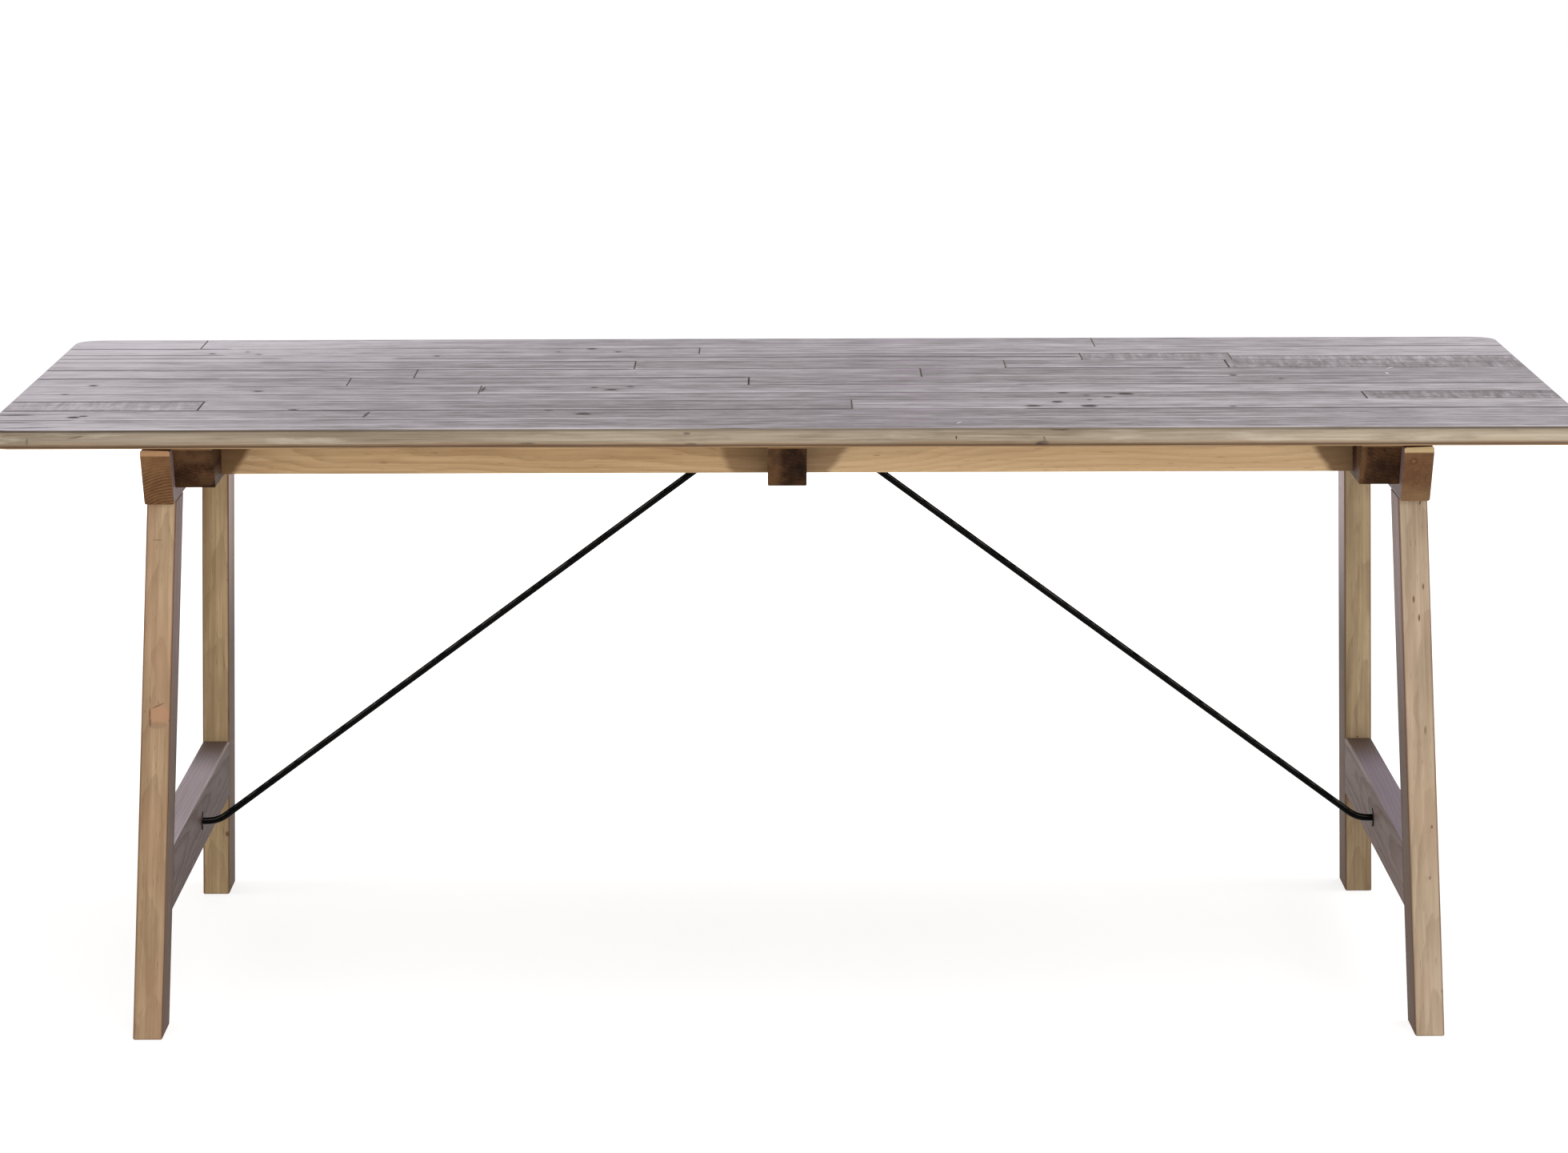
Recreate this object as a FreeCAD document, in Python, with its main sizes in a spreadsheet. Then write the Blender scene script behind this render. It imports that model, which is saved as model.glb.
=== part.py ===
import FreeCAD, Part
import os
import Sketcher

# Sawbuck table: a plank top on three cross battens, carried by two leaning trestles
# that are braced to the centre batten by bent steel rods.
# Millimetres.  +X runs along the table, +Y to its back, +Z up, origin on the floor
# under the middle of the top.

# ------------------------------------------------------------------ driving sizes
SIZES = {
    # plank top
    "table_height": 777,
    "top_length": 2000,
    "top_thickness": 24.5,
    "corner_radius": 40,
    "top_edge_round": 5,
    "bottom_edge_round": 6,
    "seam_gap": 0.3,
    "seam_bevel": 0.7,
    "trim_allowance": 6,
    # widths of the rows of planks, from the front edge to the back edge
    "row_1_width": 96,
    "row_2_width": 96,
    "row_3_width": 95,
    "row_4_width": 76,
    "row_5_width": 87,
    "row_6_width": 85,
    "row_7_width": 97,
    "row_8_width": 92,
    "row_9_width": 41,
    "row_10_width": 41,
    "row_11_width": 78,
    "row_12_width": 116,
    # butt joints of each row, from the middle of the top; rows 9 and 10 share theirs
    "row_3_first_joint": -749,
    "row_3_second_joint": 83,
    "row_4_first_joint": 747,
    "row_5_first_joint": -401,
    "row_6_first_joint": -579,
    "row_6_second_joint": -50,
    "row_7_first_joint": -496,
    "row_7_second_joint": 180,
    "row_8_first_joint": -205,
    "row_8_second_joint": 296,
    "row_8_third_joint": 597,
    "row_9_first_joint": 404,
    "row_9_second_joint": 608,
    "row_11_first_joint": -120,
    "row_12_first_joint": -815,
    "row_12_second_joint": 430,
    # cross battens under the top
    "batten_length": 874,
    "batten_width": 49,
    "batten_height": 61.5,
    "batten_nib": 9.5,
    "batten_end_slope": 40,
    "batten_round": 2,
    # rails between the battens
    "rail_height": 55.5,
    "rail_thickness": 22,
    "rail_setback": 117,
    "rail_tenon_length": 14,
    "rail_tenon_thickness": 10,
    "rail_tenon_shoulder": 9,
    "rail_round": 1.5,
    # trestles
    "end_overhang": 196,
    "trestle_lean": 1.74,
    "stock_thickness": 37,
    "stock_round": 2.5,
    "foot_bevel": 1.5,
    "beam_length": 936,
    "beam_drop": 5,
    "beam_height": 76.5,
    "beam_nib": 7,
    "beam_end_slope": 60,
    "leg_width": 85.5,
    "leg_top_spread": 764,
    "foot_spread": 964,
    "leg_tenon_length": 45,
    "leg_tenon_thickness": 13,
    "leg_tenon_width": 58,
    "stretcher_clear_height": 144,
    "stretcher_height": 82,
    "stretcher_tenon_length": 40,
    "stretcher_tenon_thickness": 13,
    "stretcher_tenon_height": 56,
    # brace rods
    "rod_diameter": 9,
    "rod_bend_radius": 40,
    "rod_end_run": 8,
    "rod_drop": 39.5,
    "rod_socket_depth": 18,
    "disc_diameter": 24.5,
    "disc_thickness": 2,
    "disc_seat_depth": 0.6,
    "rod_washer_diameter": 20,
    "rod_washer_thickness": 1.6,
    "rod_nut_size": 15,
    "rod_nut_height": 7,
    "rod_nut_recess": 11,
    "rod_proud": 1,
    "rod_recess_diameter": 24,
    # bolts that hold each trestle head to its end batten
    "bolt_spacing": 350,
    "bolt_diameter": 8,
    "bolt_head_size": 13,
    "bolt_head_height": 5.5,
    "bolt_nut_height": 6.5,
    "bolt_proud": 3,
    "bolt_washer_diameter": 17,
    "bolt_washer_thickness": 1.6,
    "bolt_recess_depth": 9,
    "bolt_recess_diameter": 22,
    # long screws up through each batten into the planks
    "screw_diameter": 5,
    "screw_head_size": 8,
    "screw_head_height": 3.5,
    "screw_bite": 15,
    "screw_stagger": 11,
    "screw_row_offset": 22,
    # clearances
    "joint_gap": 0.2,
    "tenon_end_gap": 1,
    "hole_clearance": 0.2,
    "recess_clearance": 0.5,
}

# Where each row of planks is cut across, and the names of its planks.
ROW_JOINTS = {
    1: (),
    2: (),
    3: ("row_3_first_joint", "row_3_second_joint"),
    4: ("row_4_first_joint",),
    5: ("row_5_first_joint",),
    6: ("row_6_first_joint", "row_6_second_joint"),
    7: ("row_7_first_joint", "row_7_second_joint"),
    8: ("row_8_first_joint", "row_8_second_joint", "row_8_third_joint"),
    9: ("row_9_first_joint", "row_9_second_joint"),
    10: ("row_9_first_joint", "row_9_second_joint"),
    11: ("row_11_first_joint",),
    12: ("row_12_first_joint", "row_12_second_joint"),
}
PLANK_NAMES = {
    1: ("",),
    2: ("_left", "_right"),
    3: ("_left", "_middle", "_right"),
    4: ("_left", "_mid_left", "_mid_right", "_right"),
}
ROWS = len(ROW_JOINTS)
# One wide plank, given by its row and number, fills the next row's place there too.
WIDE_PLANK = (9, 1)
# Rows of planks that are screwed to the battens; glue holds the others to them.
SCREWED_ROWS = (2, 6, 11)
SIDES = (("left", -1), ("right", 1))
ENDS = (("front", -1), ("back", 1))

doc = FreeCAD.newDocument("SawbuckTable")
sheet = doc.addObject("Spreadsheet::Sheet", "Sizes")
for line, (alias, value) in enumerate(SIZES.items(), start=1):
    sheet.set(f"A{line}", alias.replace("_", " "))
    sheet.set(f"B{line}", str(value))
    sheet.setAlias(f"B{line}", alias)
doc.recompute()

parts = []

# ---------------------------------------------------------- places, as expressions
TOP_WIDTH = "(" + " + ".join(f"Sizes.row_{row}_width" for row in range(1, ROWS + 1)) + ")"
UNDERSIDE = "(Sizes.table_height - Sizes.top_thickness)"
BATTEN_LOW = f"({UNDERSIDE} - Sizes.batten_height)"
# The head beams hang from the end battens, a little below the boards.
BEAM_HIGH = f"({UNDERSIDE} - Sizes.beam_drop)"
BEAM_LOW = f"({BEAM_HIGH} - Sizes.beam_height)"
LEAN = "tan(Sizes.trestle_lean)"
SPLAY = f"((Sizes.foot_spread - Sizes.leg_top_spread) / 2 / {BEAM_LOW})"
LEG_DEPTH = f"(Sizes.leg_width * sqrt(1 + {SPLAY}^2))"
STRETCHER_TOP = "(Sizes.stretcher_clear_height + Sizes.stretcher_height)"
STRETCHER_MIDDLE = "(Sizes.stretcher_clear_height + Sizes.stretcher_height / 2)"
RAIL_LOW = f"({UNDERSIDE} - Sizes.rail_height)"
BOLT_LEVEL = f"({UNDERSIDE} - Sizes.batten_height / 2)"
ROD_LEVEL = f"({UNDERSIDE} - Sizes.rod_drop)"
HALF_BATTEN = "(Sizes.batten_width / 2)"
HEAD_FACE = "(Sizes.top_length / 2 - Sizes.end_overhang - Sizes.stock_thickness)"
BATTEN_FACE = f"({HEAD_FACE} - Sizes.batten_width)"
THROUGH = "(Sizes.top_length * 2)"
RAIL_FRONT = "(Sizes.batten_length / 2 - Sizes.rail_setback)"
RAIL_MORTISE_DEPTH = "(Sizes.rail_tenon_length + Sizes.tenon_end_gap)"


def inner_face(level):
    """Distance from the middle of the table to a trestle's inner face at a height."""
    return f"({HEAD_FACE} + ({UNDERSIDE} - {level}) * {LEAN})"


def outer_face(level):
    """Distance from the middle of the table to a trestle's outer face at a height."""
    return f"({inner_face(level)} + Sizes.stock_thickness)"


# Floors of the recesses that the bolt heads and the rods' nuts sit in.
BOLT_SEAT = f"({outer_face(BOLT_LEVEL)} - Sizes.bolt_recess_depth)"
ROD_SEAT = f"({outer_face(STRETCHER_MIDDLE)} - Sizes.rod_nut_recess)"


def leg_inner_edge(level):
    """Distance from the middle of a trestle to the inside edge of a leg at a height."""
    return f"(Sizes.foot_spread / 2 - {LEG_DEPTH} - {SPLAY} * {level})"


def row_edge(row):
    """Y of the front edge of a row of planks; row ROWS + 1 gives the back edge."""
    widths = "".join(f" + Sizes.row_{before}_width" for before in range(1, row))
    return f"(0{widths} - {TOP_WIDTH} / 2)"


def screw_places(batten_middle):
    """Centres of one batten's screws, staggered along the grain."""
    places = []
    for index, row in enumerate(SCREWED_ROWS):
        stagger = -1 if index % 2 else 1
        x = f"{batten_middle} + {stagger} * Sizes.screw_stagger"
        y = f"{row_edge(row)} + Sizes.row_{row}_width / 2 + Sizes.screw_row_offset"
        places.append((x, y))
    return places


SCREW_HOLE = "Sizes.screw_diameter + 2 * Sizes.hole_clearance"
BATTEN_MIDDLES = {
    "left": f"(-({HEAD_FACE} - {HALF_BATTEN}))",
    "centre": "(0)",
    "right": f"({HEAD_FACE} - {HALF_BATTEN})",
}

# ------------------------------------------------------------- sketching and solids
# Each axis names the origin plane square to it and the sign of that plane's normal.
AXIS_PLANES = {
    "x": ("YZ_Plane", 1),
    "y": ("XZ_Plane", -1),
    "z": ("XY_Plane", 1),
}


def new_body(label):
    """Empty body whose label is the name of a sub-part."""
    body = doc.addObject("PartDesign::Body", label)
    body.Label = label
    body.Placement = FreeCAD.Placement()
    return body


def value_of(expression):
    """Present value of an expression on the sheet."""
    result = sheet.evalExpression(expression)
    return float(getattr(result, "Value", result))


def new_sketch(body, name, axis, at):
    """Sketch square to an axis of the body, at a distance along that axis."""
    role, sign = AXIS_PLANES[axis]
    sketch = body.newObject("Sketcher::SketchObject", name)
    plane = [feature for feature in body.Origin.OriginFeatures if feature.Role == role][0]
    sketch.AttachmentSupport = (plane, [""])
    sketch.MapMode = "FlatFace"
    sketch.setExpression("AttachmentOffset.Base.z", f"{sign} * ({at})")
    return sketch


def pin(sketch, kind, *geometry, to):
    """Dimension in a sketch that follows an expression."""
    index = sketch.addConstraint(Sketcher.Constraint(kind, *geometry, value_of(to)))
    sketch.setExpression(f"Constraints[{index}]", to)


def pin_point(sketch, geometry, end, x, y):
    """Fixes a point of a sketch to a place given by two expressions."""
    pin(sketch, "DistanceX", -1, 1, geometry, end, to=x)
    pin(sketch, "DistanceY", -1, 1, geometry, end, to=y)


def draw_polygon(sketch, corners):
    """Closed outline through corners given as pairs of expressions."""
    points = [FreeCAD.Vector(value_of(x), value_of(y), 0) for x, y in corners]
    first = sketch.GeometryCount
    count = len(corners)
    for index, point in enumerate(points):
        sketch.addGeometry(Part.LineSegment(point, points[(index + 1) % count]), False)
    for index in range(count):
        following = first + (index + 1) % count
        sketch.addConstraint(Sketcher.Constraint("Coincident", first + index, 2, following, 1))
    for index, (x, y) in enumerate(corners):
        pin_point(sketch, first + index, 1, x, y)


def draw_box(sketch, low, high):
    """Upright rectangle between two corners."""
    (x0, y0), (x1, y1) = low, high
    draw_polygon(sketch, ((x0, y0), (x1, y0), (x1, y1), (x0, y1)))


def draw_circle(sketch, centre, diameter):
    """Circle whose centre and diameter are expressions."""
    x, y = centre
    middle = FreeCAD.Vector(value_of(x), value_of(y), 0)
    radius = value_of(diameter) / 2
    upright = FreeCAD.Vector(0, 0, 1)
    index = sketch.addGeometry(Part.Circle(middle, upright, radius), False)
    pin_point(sketch, index, 3, x, y)
    pin(sketch, "Diameter", index, to=diameter)


def draw_hexagon(sketch, centre, across_flats):
    """Hexagon with two upright corners, as a nut or a bolt head."""
    x, y = centre
    reach = f"{across_flats} / sqrt(3)"
    corners = []
    for corner in range(6):
        turn = 60 * corner + 30
        corners.append((f"{x} + {reach} * cos({turn})", f"{y} + {reach} * sin({turn})"))
    draw_polygon(sketch, corners)


def extrude(body, name, sketch, length, toward=1, slant=None, cut=False):
    """Pad or pocket of a sketch.

    toward is 1 along the axis that the sketch is square to, -1 against it and 0 for
    both ways; slant gives the direction as expressions, for a length measured square
    to the sketch.
    """
    kind = "PartDesign::Pocket" if cut else "PartDesign::Pad"
    feature = body.newObject(kind, name)
    feature.Profile = sketch
    feature.setExpression("Length", length)
    role = sketch.AttachmentSupport[0][0].Role
    sign = next(sign for plane, sign in AXIS_PLANES.values() if plane == role)
    along_normal = toward * sign > 0
    if toward == 0:
        feature.SideType = "Symmetric"
    elif slant:
        feature.UseCustomVector = True
        feature.AlongSketchNormal = True
        for letter, part in zip("xyz", slant):
            feature.setExpression(f"Direction.{letter}", part)
        feature.Reversed = False
    else:
        feature.Reversed = along_normal if cut else not along_normal
    sketch.Visibility = False
    return feature


def round_edges(body, name, feature, radius, wanted):
    """Fillet on the edges of a feature that a test picks."""
    doc.recompute()
    edges = enumerate(feature.Shape.Edges, start=1)
    picked = [f"Edge{number}" for number, edge in edges if wanted(edge)]
    fillet = body.newObject("PartDesign::Fillet", name)
    fillet.Base = (feature, picked)
    fillet.setExpression("Radius", radius)
    return fillet


def bevel_edges(body, name, feature, size, wanted):
    """Chamfer on the edges of a feature that a test picks."""
    doc.recompute()
    edges = enumerate(feature.Shape.Edges, start=1)
    picked = [f"Edge{number}" for number, edge in edges if wanted(edge)]
    bevel = body.newObject("PartDesign::Chamfer", name)
    bevel.Base = (feature, picked)
    bevel.setExpression("Size", size)
    return bevel


def direction(edge):
    """Unit vector along a straight edge, or None for a curved one."""
    if not isinstance(edge.Curve, (Part.Line, Part.LineSegment)):
        return None
    return edge.tangentAt(edge.FirstParameter)


def runs_along(axis):
    """Test for edges that run mostly along one axis."""
    place = "xyz".index(axis)

    def test(edge):
        run = direction(edge)
        return run is not None and abs(run[place]) > 0.9

    return test


def lies_at(level):
    """Test for edges that lie wholly at one height."""

    def test(edge):
        box = edge.BoundBox
        return abs(box.ZMin - level) < 1e-4 and abs(box.ZMax - level) < 1e-4

    return test


def keep(item):
    """Adds a finished sub-part to the table."""
    parts.append(item)
    return item


# --------------------------------------------------------------------- plank top
def make_top_blank():
    """The glued-up top as one panel: round corners and edges, pilot holes for screws."""
    body = new_body("top_blank")
    half_length = "Sizes.top_length / 2"
    half_width = f"{TOP_WIDTH} / 2"
    outline = new_sketch(body, "top_outline", "z", UNDERSIDE)
    low = (f"-{half_length}", f"-{half_width}")
    draw_box(outline, low, (half_length, half_width))
    panel = extrude(body, "top_panel", outline, "Sizes.top_thickness")
    corners = round_edges(body, "top_corners", panel, "Sizes.corner_radius", runs_along("z"))
    arris = lies_at(value_of("Sizes.table_height"))
    upper = round_edges(body, "top_arris", corners, "Sizes.top_edge_round", arris)
    arris = lies_at(value_of(UNDERSIDE))
    round_edges(body, "bottom_arris", upper, "Sizes.bottom_edge_round", arris)
    holes = new_sketch(body, "pilot_holes", "z", "0")
    for middle in BATTEN_MIDDLES.values():
        for place in screw_places(middle):
            draw_circle(holes, place, SCREW_HOLE)
    depth = f"{UNDERSIDE} + Sizes.screw_bite + Sizes.hole_clearance"
    extrude(body, "pilot_hole_cuts", holes, depth, cut=True)
    return body


def make_plank(blank, row, number, joints):
    """One plank: the part of the top between two seams and two butt joints."""
    name = f"plank_{row:02d}{PLANK_NAMES[len(joints) + 1][number]}"
    last_row = row + 1 if (row, number) == WIDE_PLANK else row
    half_gap = "Sizes.seam_gap / 2"
    spare = "Sizes.trim_allowance"
    left = f"-Sizes.top_length / 2 - {spare}"
    right = f"Sizes.top_length / 2 + {spare}"
    if number > 0:
        left = f"Sizes.{joints[number - 1]} + {half_gap}"
    if number < len(joints):
        right = f"Sizes.{joints[number]} - {half_gap}"
    front = f"{row_edge(row)} + {half_gap}" if row > 1 else f"{row_edge(row)} - {spare}"
    back = f"{row_edge(last_row + 1)} - {half_gap}"
    if last_row == ROWS:
        back = f"{row_edge(last_row + 1)} + {spare}"
    blade = new_body(f"{name}_board")
    outline = new_sketch(blade, f"{name}_outline", "z", UNDERSIDE)
    draw_box(outline, (left, front), (right, back))
    board = extrude(blade, f"{name}_sawn", outline, "Sizes.top_thickness")
    arris = lies_at(value_of("Sizes.table_height"))
    bevel_edges(blade, f"{name}_bevel", board, "Sizes.seam_bevel", arris)
    plank = doc.addObject("Part::Common", name)
    plank.Label = name
    plank.Base = blank
    plank.Tool = blade
    keep(plank)


def make_planks():
    """Every plank of the top, row by row from the front."""
    blank = make_top_blank()
    for row, joints in ROW_JOINTS.items():
        for number in range(len(joints) + 1):
            if (row - 1, number) != WIDE_PLANK:
                make_plank(blank, row, number, joints)


# -------------------------------------------------- battens and trestle head beams
def make_sloped_beam(label, section, length, nib, slope, high, low):
    """Beam along Y whose ends are square for a short nib and then slope inwards."""
    body = new_body(label)
    profile = new_sketch(body, f"{label}_section", "y", "0")
    draw_polygon(profile, section)
    bar = extrude(body, f"{label}_bar", profile, length, toward=0)
    radius = "Sizes.stock_round" if label.startswith("head") else "Sizes.batten_round"
    round_edges(body, f"{label}_arris", bar, radius, runs_along("y"))
    ends = new_sketch(body, f"{label}_end_slopes", "x", "0")
    nib_level = f"{high} - {nib}"
    deep = f"{low} - {nib}"
    for _, sign in ENDS:
        tip = f"{sign} * {length} / 2"
        heel = f"{sign} * ({length} / 2 - {slope})"
        clear = f"{sign} * ({length} / 2 + {nib})"
        corners = ((tip, nib_level), (heel, low), (heel, deep), (clear, deep), (clear, nib_level))
        draw_polygon(ends, corners)
    extrude(body, f"{label}_end_cuts", ends, THROUGH, toward=0, cut=True)
    return body


def cut_screw_holes(body, label, middle):
    """Clearance holes for the screws, up through a batten."""
    holes = new_sketch(body, f"{label}_screw_holes", "z", "0")
    for place in screw_places(middle):
        draw_circle(holes, place, SCREW_HOLE)
    extrude(body, f"{label}_screw_bores", holes, "Sizes.table_height", cut=True)


def cut_rail_mortises(body, label, start, toward):
    """Pair of blind mortises for rail tenons, cut from start along X."""
    mortises = new_sketch(body, f"{label}_rail_mortises", "x", start)
    spare = "Sizes.joint_gap"
    half = f"(Sizes.rail_tenon_thickness / 2 + {spare})"
    middle = f"({RAIL_FRONT} - Sizes.rail_thickness / 2)"
    low = f"{RAIL_LOW} + Sizes.rail_tenon_shoulder - {spare}"
    high = f"{UNDERSIDE} - Sizes.rail_tenon_shoulder + {spare}"
    for _, sign in ENDS:
        near = f"{sign} * ({middle} - {half})"
        far = f"{sign} * ({middle} + {half})"
        draw_box(mortises, (near, low), (far, high))
    name = f"{label}_rail_mortise_cuts"
    extrude(body, name, mortises, RAIL_MORTISE_DEPTH, toward=toward, cut=True)


BATTEN_ENDS = (
    "Sizes.batten_length", "Sizes.batten_nib", "Sizes.batten_end_slope", UNDERSIDE, BATTEN_LOW,
)


def make_end_batten(name, side):
    """Batten beside a trestle: its outer side is planed to the trestle's lean."""
    label = f"batten_{name}"
    inner = f"{side} * {BATTEN_FACE}"
    section = (
        (f"{side} * {HEAD_FACE}", UNDERSIDE),
        (f"{side} * {inner_face(BATTEN_LOW)}", BATTEN_LOW),
        (inner, BATTEN_LOW),
        (inner, UNDERSIDE),
    )
    body = make_sloped_beam(label, section, *BATTEN_ENDS)
    cut_rail_mortises(body, label, f"{side} * ({BATTEN_FACE} + {RAIL_MORTISE_DEPTH})", -side)
    bolts = new_sketch(body, f"{label}_bolt_holes", "x", "0")
    for _, sign in ENDS:
        place = (f"{sign} * Sizes.bolt_spacing / 2", BOLT_LEVEL)
        draw_circle(bolts, place, "Sizes.bolt_diameter + 2 * Sizes.hole_clearance")
    extrude(body, f"{label}_bolt_bores", bolts, THROUGH, toward=side, cut=True)
    cut_screw_holes(body, label, BATTEN_MIDDLES[name])
    keep(body)


def make_centre_batten():
    """Batten in the middle, with a blind socket in each side for a brace rod."""
    label = "batten_centre"
    low = (f"-{HALF_BATTEN}", BATTEN_LOW)
    high = (HALF_BATTEN, UNDERSIDE)
    section = (low, (high[0], low[1]), high, (low[0], high[1]))
    body = make_sloped_beam(label, section, *BATTEN_ENDS)
    for name, side in SIDES:
        start = f"{side} * ({HALF_BATTEN} - {RAIL_MORTISE_DEPTH})"
        cut_rail_mortises(body, f"{label}_{name}", start, side)
        depth = "(Sizes.rod_socket_depth + Sizes.tenon_end_gap)"
        start = f"{side} * ({HALF_BATTEN} - {depth})"
        socket = new_sketch(body, f"{name}_rod_socket", "x", start)
        draw_circle(socket, ("0", ROD_LEVEL), "Sizes.rod_diameter + 2 * Sizes.hole_clearance")
        extrude(body, f"{name}_rod_socket_bore", socket, depth, toward=side, cut=True)
    cut_screw_holes(body, label, BATTEN_MIDDLES["centre"])
    keep(body)


def make_rail(end_name, end, name, side):
    """Rail between the centre batten and an end batten, with a stub tenon each end."""
    label = f"rail_{end_name}_{name}"
    body = new_body(label)
    front = RAIL_FRONT
    rear = f"({RAIL_FRONT} - Sizes.rail_thickness)"
    section = new_sketch(body, f"{label}_section", "x", f"{side} * {HALF_BATTEN}")
    draw_box(section, (f"{end} * {front}", RAIL_LOW), (f"{end} * {rear}", UNDERSIDE))
    length = f"{BATTEN_FACE} - {HALF_BATTEN}"
    bar = extrude(body, f"{label}_bar", section, length, toward=side)
    lower = lies_at(value_of(RAIL_LOW))

    def lower_arris(edge):
        return lower(edge) and runs_along("x")(edge)

    round_edges(body, f"{label}_arris", bar, "Sizes.rail_round", lower_arris)
    start = f"{side} * ({HALF_BATTEN} - Sizes.rail_tenon_length)"
    tenon = new_sketch(body, f"{label}_tenon_section", "x", start)
    middle = f"({RAIL_FRONT} - Sizes.rail_thickness / 2)"
    near = f"{end} * ({middle} - Sizes.rail_tenon_thickness / 2)"
    far = f"{end} * ({middle} + Sizes.rail_tenon_thickness / 2)"
    low = f"{RAIL_LOW} + Sizes.rail_tenon_shoulder"
    high = f"{UNDERSIDE} - Sizes.rail_tenon_shoulder"
    draw_box(tenon, (near, low), (far, high))
    extrude(body, f"{label}_tenons", tenon, f"{length} + 2 * Sizes.rail_tenon_length", toward=side)
    keep(body)


# ------------------------------------------------------------------------ trestles
def leg_axis(side, end):
    """Direction up a leg, as expressions: it leans and splays towards the middle."""
    return (f"-{side} * {LEAN}", f"-{end} * {SPLAY}", "1")


def leg_section(side, end, inset_x, inset_y):
    """Two corners of a leg's level section at the floor, inset for a tenon."""
    inner = f"{side} * ({inner_face('0')} + ({inset_x}))"
    outer = f"{side} * ({outer_face('0')} - ({inset_x}))"
    near = f"{end} * (Sizes.foot_spread / 2 - {LEG_DEPTH} + ({inset_y}))"
    far = f"{end} * (Sizes.foot_spread / 2 - ({inset_y}))"
    return (inner, near), (outer, far)


LEG_TENON_INSET_X = "(Sizes.stock_thickness - Sizes.leg_tenon_thickness) / 2"
LEG_TENON_INSET_Y = f"({LEG_DEPTH} - Sizes.leg_tenon_width) / 2"


def tenon_section(side, grow):
    """Section of a stretcher tenon; it leans with the trestle."""
    low = f"({STRETCHER_MIDDLE} - Sizes.stretcher_tenon_height / 2 - {grow})"
    high = f"({STRETCHER_MIDDLE} + Sizes.stretcher_tenon_height / 2 + {grow})"
    inset = f"((Sizes.stock_thickness - Sizes.stretcher_tenon_thickness) / 2 - {grow})"
    return (
        (f"{side} * ({inner_face(low)} + {inset})", low),
        (f"{side} * ({outer_face(low)} - {inset})", low),
        (f"{side} * ({outer_face(high)} - {inset})", high),
        (f"{side} * ({inner_face(high)} + {inset})", high),
    )


def make_leg(name, side, end_name, end):
    """Leg with level ends, a tenon for the head beam and a mortise for the stretcher."""
    label = f"leg_{end_name}_{name}"
    body = new_body(label)
    foot = new_sketch(body, f"{label}_section", "z", "0")
    draw_box(foot, *leg_section(side, end, "0", "0"))
    axis = leg_axis(side, end)
    bar = extrude(body, f"{label}_bar", foot, BEAM_LOW, slant=axis)
    long_arris = round_edges(body, f"{label}_arris", bar, "Sizes.stock_round", runs_along("z"))
    bevel_edges(body, f"{label}_foot_arris", long_arris, "Sizes.foot_bevel", lies_at(0))
    tenon = new_sketch(body, f"{label}_tenon_section", "z", "0")
    draw_box(tenon, *leg_section(side, end, LEG_TENON_INSET_X, LEG_TENON_INSET_Y))
    extrude(body, f"{label}_tenon", tenon, f"{BEAM_LOW} + Sizes.leg_tenon_length", slant=axis)
    mortise = new_sketch(body, f"{label}_mortise_section", "y", "0")
    draw_polygon(mortise, tenon_section(side, "Sizes.joint_gap"))
    reach = f"{leg_inner_edge(STRETCHER_MIDDLE)} + Sizes.stretcher_tenon_length"
    depth = f"{reach} + Sizes.tenon_end_gap"
    extrude(body, f"{label}_mortise", mortise, depth, toward=end, cut=True)
    keep(body)


def make_head_beam(name, side):
    """Head beam of a trestle, mortised for both legs and bored for two bolts."""
    label = f"head_beam_{name}"
    # The upper side is square to the lean, so its inner arris lies lower than its outer one.
    inner_high = f"({BEAM_HIGH} - Sizes.stock_thickness * {LEAN})"
    section = (
        (f"{side} * {inner_face(inner_high)}", inner_high),
        (f"{side} * {outer_face(BEAM_HIGH)}", BEAM_HIGH),
        (f"{side} * {outer_face(BEAM_LOW)}", BEAM_LOW),
        (f"{side} * {inner_face(BEAM_LOW)}", BEAM_LOW),
    )
    ends = ("Sizes.beam_length", "Sizes.beam_nib", "Sizes.beam_end_slope", BEAM_HIGH, BEAM_LOW)
    body = make_sloped_beam(label, section, *ends)
    for end_name, end in ENDS:
        mortise = new_sketch(body, f"{label}_{end_name}_mortise_section", "z", "0")
        spare = "- Sizes.joint_gap"
        insets = (f"{LEG_TENON_INSET_X} {spare}", f"{LEG_TENON_INSET_Y} {spare}")
        draw_box(mortise, *leg_section(side, end, *insets))
        depth = f"{BEAM_LOW} + Sizes.leg_tenon_length + Sizes.tenon_end_gap"
        axis = leg_axis(side, end)
        extrude(body, f"{label}_{end_name}_mortise", mortise, depth, slant=axis, cut=True)
    bolts = new_sketch(body, f"{label}_bolt_holes", "x", "0")
    recesses = new_sketch(body, f"{label}_bolt_recesses", "x", f"{side} * {BOLT_SEAT}")
    for _, sign in ENDS:
        place = (f"{sign} * Sizes.bolt_spacing / 2", BOLT_LEVEL)
        draw_circle(bolts, place, "Sizes.bolt_diameter + 2 * Sizes.hole_clearance")
        draw_circle(recesses, place, "Sizes.bolt_recess_diameter")
    extrude(body, f"{label}_bolt_bores", bolts, THROUGH, toward=side, cut=True)
    extrude(body, f"{label}_bolt_recess_bores", recesses, THROUGH, toward=side, cut=True)
    keep(body)


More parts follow.
